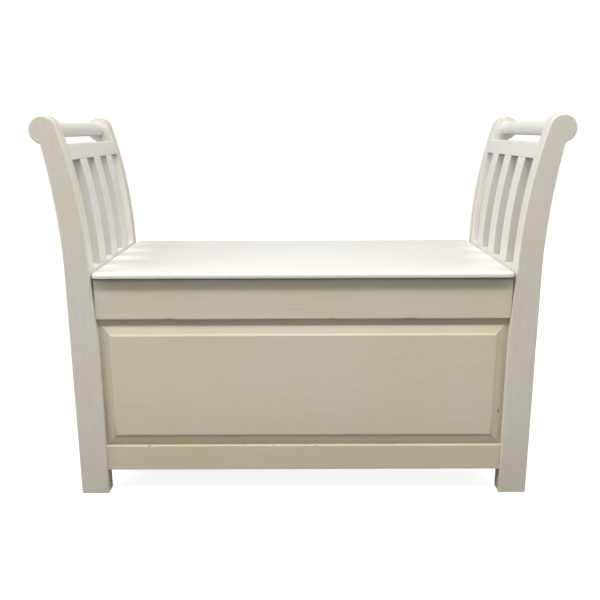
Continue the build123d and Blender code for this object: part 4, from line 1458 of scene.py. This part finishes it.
@dataclass
class HingeSet:
    """Both hinges and every screw."""

    maker: Maker
    leaf_screw_spacing: float = 0.021
    leaf_screw_head: float = 0.003
    screw_head: float = 0.004
    cleat_screw_length: float = 0.024
    per_row: int = 3
    recess_depth: float = 0.55

    @staticmethod
    def pockets(node: str) -> list[tuple[Vector, Vector]]:
        """Room for the knuckles in the lid's underside or in the back rail's top edge.

        Args:
            node: the board that the room is cut from.

        Returns:
            The low and high corner of each pocket.
        """
        room, past = 0.3 * MM, 4 * MM
        low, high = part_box(node)
        pockets = []
        for side in Side:
            pin_low, pin_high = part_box(f"{side.value}_hinge_pin")
            leaf_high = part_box(f"{side.value}_hinge_frame_leaf")[1]
            middle = (pin_low + pin_high) / 2
            reach = leaf_high.y - middle.y + room
            heights = (middle.z - reach, high.z + past)
            if node == "lid_board":
                heights = (low.z - past, leaf_high.z + room)
            pockets.append((Vector((pin_low.x - room, middle.y - reach, heights[0])),
                            Vector((pin_high.x + room, high.y + past, heights[1]))))
        return pockets

    def build(self) -> None:
        """Finishes the hinges and makes the screws."""
        for side in Side:
            for part in ("frame_leaf", "lid_leaf", "pin"):
                self.maker.carried_over(f"{side.value}_hinge_{part}", "hinge")
        self._leaf_screws("frame_leaf_screws", up=True, body=BASE_BODY)
        self._leaf_screws("lid_leaf_screws", up=False, body=LID_BODY)
        self._batten_screws()
        self._cleat_screws()

    def _leaf_screws(self, node: str, up: bool, body: str) -> None:
        """Makes three screws in each leaf.

        Args:
            node: the node they stand for.
            up: whether their heads face up.
            body: the body they ride on.
        """
        low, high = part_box(node)
        z, facing = (high.z, (0, 0, 1)) if up else (low.z, (0, 0, -1))
        places = []
        for side in Side:
            middle = sum(corner.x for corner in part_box(f"{side.value}_hinge_pin")) / 2
            places += [(middle + n * self.leaf_screw_spacing, (low.y + high.y) / 2, z)
                       for n in (-1, 0, 1)]
        self._screws(node, places, [facing] * len(places), self.leaf_screw_head,
                     high.z - low.z, body)

    def _batten_screws(self) -> None:
        """Three screws in each batten, their heads facing down."""
        places = []
        low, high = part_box("batten_screws")
        for side in Side:
            start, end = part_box(f"{side.value}_lid_batten")
            step = (end.y - start.y) / self.per_row
            places += [((start.x + end.x) / 2, start.y + (n + 0.5) * step, low.z)
                       for n in range(self.per_row)]
        self._screws("batten_screws", places, [(0, 0, -1)] * len(places), self.screw_head,
                     high.z - low.z, LID_BODY)

    def _cleat_screws(self) -> None:
        """Three screws in each floor strip, their heads facing into the box."""
        places, facings = [], []
        for place, facing in (("front", (0, 1, 0)), ("rear", (0, -1, 0)),
                              ("left", (1, 0, 0)), ("right", (-1, 0, 0))):
            low, high = (np.array(v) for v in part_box(f"{place}_floor_cleat"))
            along = 0 if facing[0] == 0 else 1
            face = 1 - along
            for n in range(self.per_row):
                spot = (low + high) / 2
                spot[along] = low[along] + (n + 0.5) / self.per_row * (high - low)[along]
                spot[face] = high[face] if facing[face] > 0 else low[face]
                places.append(tuple(spot))
                facings.append(facing)
        self._screws("cleat_screws", places, facings, self.screw_head,
                     self.cleat_screw_length, BASE_BODY)

    def _screws(self, node: str, places: list, facings: list, head: float, length: float,
                body: str) -> None:
        """Makes one piece that holds a group of screws.

        Args:
            node: the node it stands for.
            places: middle of each head's face.
            facings: the way each head faces.
            head: radius of a head.
            length: whole length of a screw.
            body: the body it rides on.
        """
        group = None
        for place, facing in zip(places, facings):
            one = self._screw(head, length)
            turn = Vector((0, 0, 1)).rotation_difference(Vector(facing)).to_matrix()
            one.points = one.points @ np.array(turn).T + np.array(place)
            group = one if group is None else group.joined(one)
        self.maker.piece(node, group, "screw", body)

    def _screw(self, head: float, length: float) -> Shell:
        """Countersunk screw, head up at the origin, with a cross recess and a thread.

        The head's face is sunk by a smooth step of the nearer distance to the cross's two
        bars. The shank's radius is the core plus a sine of the angle and the height together,
        so that the thread climbs once round for each pitch.

        Args:
            head: radius of the head.
            length: whole length of the screw.

        Returns:
            The closed screw.
        """
        around, shank = 48, head / 2
        turn = np.linspace(0, FULL_TURN, around, endpoint=False)
        face = np.linspace(0.06, 0.97, 16)[:, None] * head
        x, y = face * np.cos(turn), face * np.sin(turn)
        bar = np.minimum(np.abs(x), np.abs(y)) / head
        depth = np.clip((0.20 - bar) / 0.06, 0, 1) * np.clip((0.72 - face / head) / 0.1, 0, 1)
        top = np.stack([x, y, -self.recess_depth * head * depth], axis=-1)
        drop = np.linspace(0.03 * head, length - 1.6 * shank, 70)[:, None]
        cone = np.maximum(head - drop, shank)
        pitch = 0.7 * head
        wave = np.sin(turn + FULL_TURN * drop / pitch) - 1
        thread = np.where(drop > head, 0.10 * shank * wave, 0.0)
        side = np.stack([(cone + thread) * np.cos(turn), (cone + thread) * np.sin(turn),
                         -drop + 0 * turn], axis=-1)
        rows = np.concatenate([top, side])
        many = len(rows)
        points = np.vstack([rows.reshape(-1, 3), [[0, 0, -self.recess_depth * head]],
                            [[0, 0, -length]]])
        quads = ring_quads(many, around)[:, [0, 3, 2, 1]]
        column, end, middle = np.arange(around), (many - 1) * around, many * around
        following, one = np.roll(column, -1), np.ones(around, int)
        crown = np.column_stack([column, following, middle * one])
        tip = np.column_stack([following + end, column + end, (middle + 1) * one])
        faces = [tuple(f) for f in quads.tolist() + crown.tolist() + tip.tolist()]
        empty = np.zeros(len(points))
        return Shell(points, faces, empty, empty)


# ---------------------------------------------------------------- studio


@dataclass(frozen=True)
class Lamp:
    """One soft light."""

    name: str
    place: tuple[float, float, float]
    size: tuple[float, float]
    power: float
    colour: tuple[float, float, float]
    shines: bool = True


@dataclass
class Studio:
    """Floor, lights and camera."""

    focal_length: float = 42.55
    sensor: float = 36.0
    camera_place: tuple = (-0.0047, -1.5210, 0.7293)
    pitch: float = math.radians(13.608)
    yaw: float = math.radians(-0.06)
    roll: float = math.radians(-0.21)
    ambient: float = 0.05
    floor_half: float = 6.0
    floor_colour: tuple = (0.36, 0.345, 0.315, 1.0)
    floor_glow: float = 0.90
    lamps: tuple = (
        Lamp("high_front", (0.0, -1.30, 3.00), (1.2, 0.4), 50.0, (1.0, 0.93, 0.79)),
        Lamp("high_left", (-2.2, -0.60, 2.40), (2.2, 2.2), 76.0, (0.96, 1.0, 1.0)),
        Lamp("high_right", (2.2, -0.60, 2.40), (2.2, 2.2), 50.0, (0.95, 1.0, 0.98)),
        Lamp("rear_soft", (0.3, 3.60, 1.50), (2.0, 1.4), 27.0, (1.0, 0.98, 0.94), False),
    )

    def build(self) -> None:
        """Sets up the floor, the lights, the camera and the surroundings."""
        self._floor()
        for lamp in self.lamps:
            self._light(lamp)
        self._surroundings()
        self._camera()
        bpy.context.scene.view_settings.view_transform = "Standard"

    def _floor(self) -> None:
        """Pale floor that looks nearly white, and takes only a faint shadow."""
        half = self.floor_half
        mesh = bpy.data.meshes.new("floor")
        corners = [(-half, -half, 0), (half, -half, 0), (half, half, 0), (-half, half, 0)]
        mesh.from_pydata(corners, [], [(0, 1, 2, 3)])
        floor = placed("floor", mesh)
        material = bpy.data.materials.new("pale_floor")
        material.use_nodes = True
        recipe = Recipe(material.node_tree)
        shader = material.node_tree.nodes["Principled BSDF"]
        shader.inputs["Base Color"].default_value = self.floor_colour
        shader.inputs["Roughness"].default_value = 0.9
        seen = recipe.node("ShaderNodeLightPath").outputs["Is Camera Ray"]
        away = recipe.node("ShaderNodeVectorMath", {0: recipe.here()},
                           operation="LENGTH").outputs["Value"]
        rise = recipe.math("MULTIPLY", recipe.window(away, 0.6, 2.0), 1.0 - self.floor_glow)
        glow = recipe.math("MULTIPLY", seen, recipe.math("ADD", rise, self.floor_glow))
        shader.inputs["Emission Color"].default_value = WHITE
        recipe.feed(shader, {"Emission Strength": glow})
        mesh.materials.append(material)

    def _light(self, lamp: Lamp) -> None:
        """One rectangular lamp that points at the middle of the bench."""
        data = bpy.data.lights.new(lamp.name, "AREA")
        data.shape, data.energy, data.color = "RECTANGLE", lamp.power, lamp.colour
        data.size, data.size_y = lamp.size
        light = placed(lamp.name, data)
        light.visible_glossy = lamp.shines
        light.location = lamp.place
        heading = (CAD_BOX[0] + CAD_BOX[1]) / 2 - Vector(lamp.place)
        light.rotation_euler = heading.to_track_quat("-Z", "Y").to_euler()

    def _surroundings(self) -> None:
        """White behind the bench, and a softer light from all round."""
        world = bpy.data.worlds.new("studio")
        bpy.context.scene.world = world
        world.use_nodes = True
        recipe = Recipe(world.node_tree)
        background = world.node_tree.nodes["Background"]
        seen = recipe.node("ShaderNodeLightPath").outputs["Is Camera Ray"]
        strength = recipe.node("ShaderNodeMapRange", {"Value": seen, "To Min": self.ambient,
                                                      "To Max": 1.0}).outputs["Result"]
        background.inputs["Color"].default_value = WHITE
        recipe.feed(background, {"Strength": strength})

    def _camera(self) -> None:
        """Camera in front of the bench, a little above the arms and looking slightly down."""
        data = bpy.data.cameras.new("camera")
        data.lens, data.sensor_width = self.focal_length, self.sensor
        camera = placed("camera", data)
        turn = (Matrix.Rotation(-self.yaw, 3, "Z")
                @ Matrix.Rotation(math.pi / 2 - self.pitch, 3, "X")
                @ Matrix.Rotation(self.roll, 3, "Z"))
        camera.location = self.camera_place
        camera.rotation_euler = turn.to_euler()
        bpy.context.scene.camera = camera


def main() -> None:
    """Builds the bench class by class, then the studio round it."""
    logging.basicConfig(level=logging.INFO, format="%(name)s: %(message)s")
    maker = Maker(PaintShop())
    curve = ArmCurve()
    Uprights(maker, curve).build()
    SideArms(maker, curve).build()
    Casework(maker).build()
    Lid(maker).build()
    HingeSet(maker).build()
    Studio().build()
    LOG.info("%d pieces made", len(maker.made))


if __name__ == "__main__":
    main()
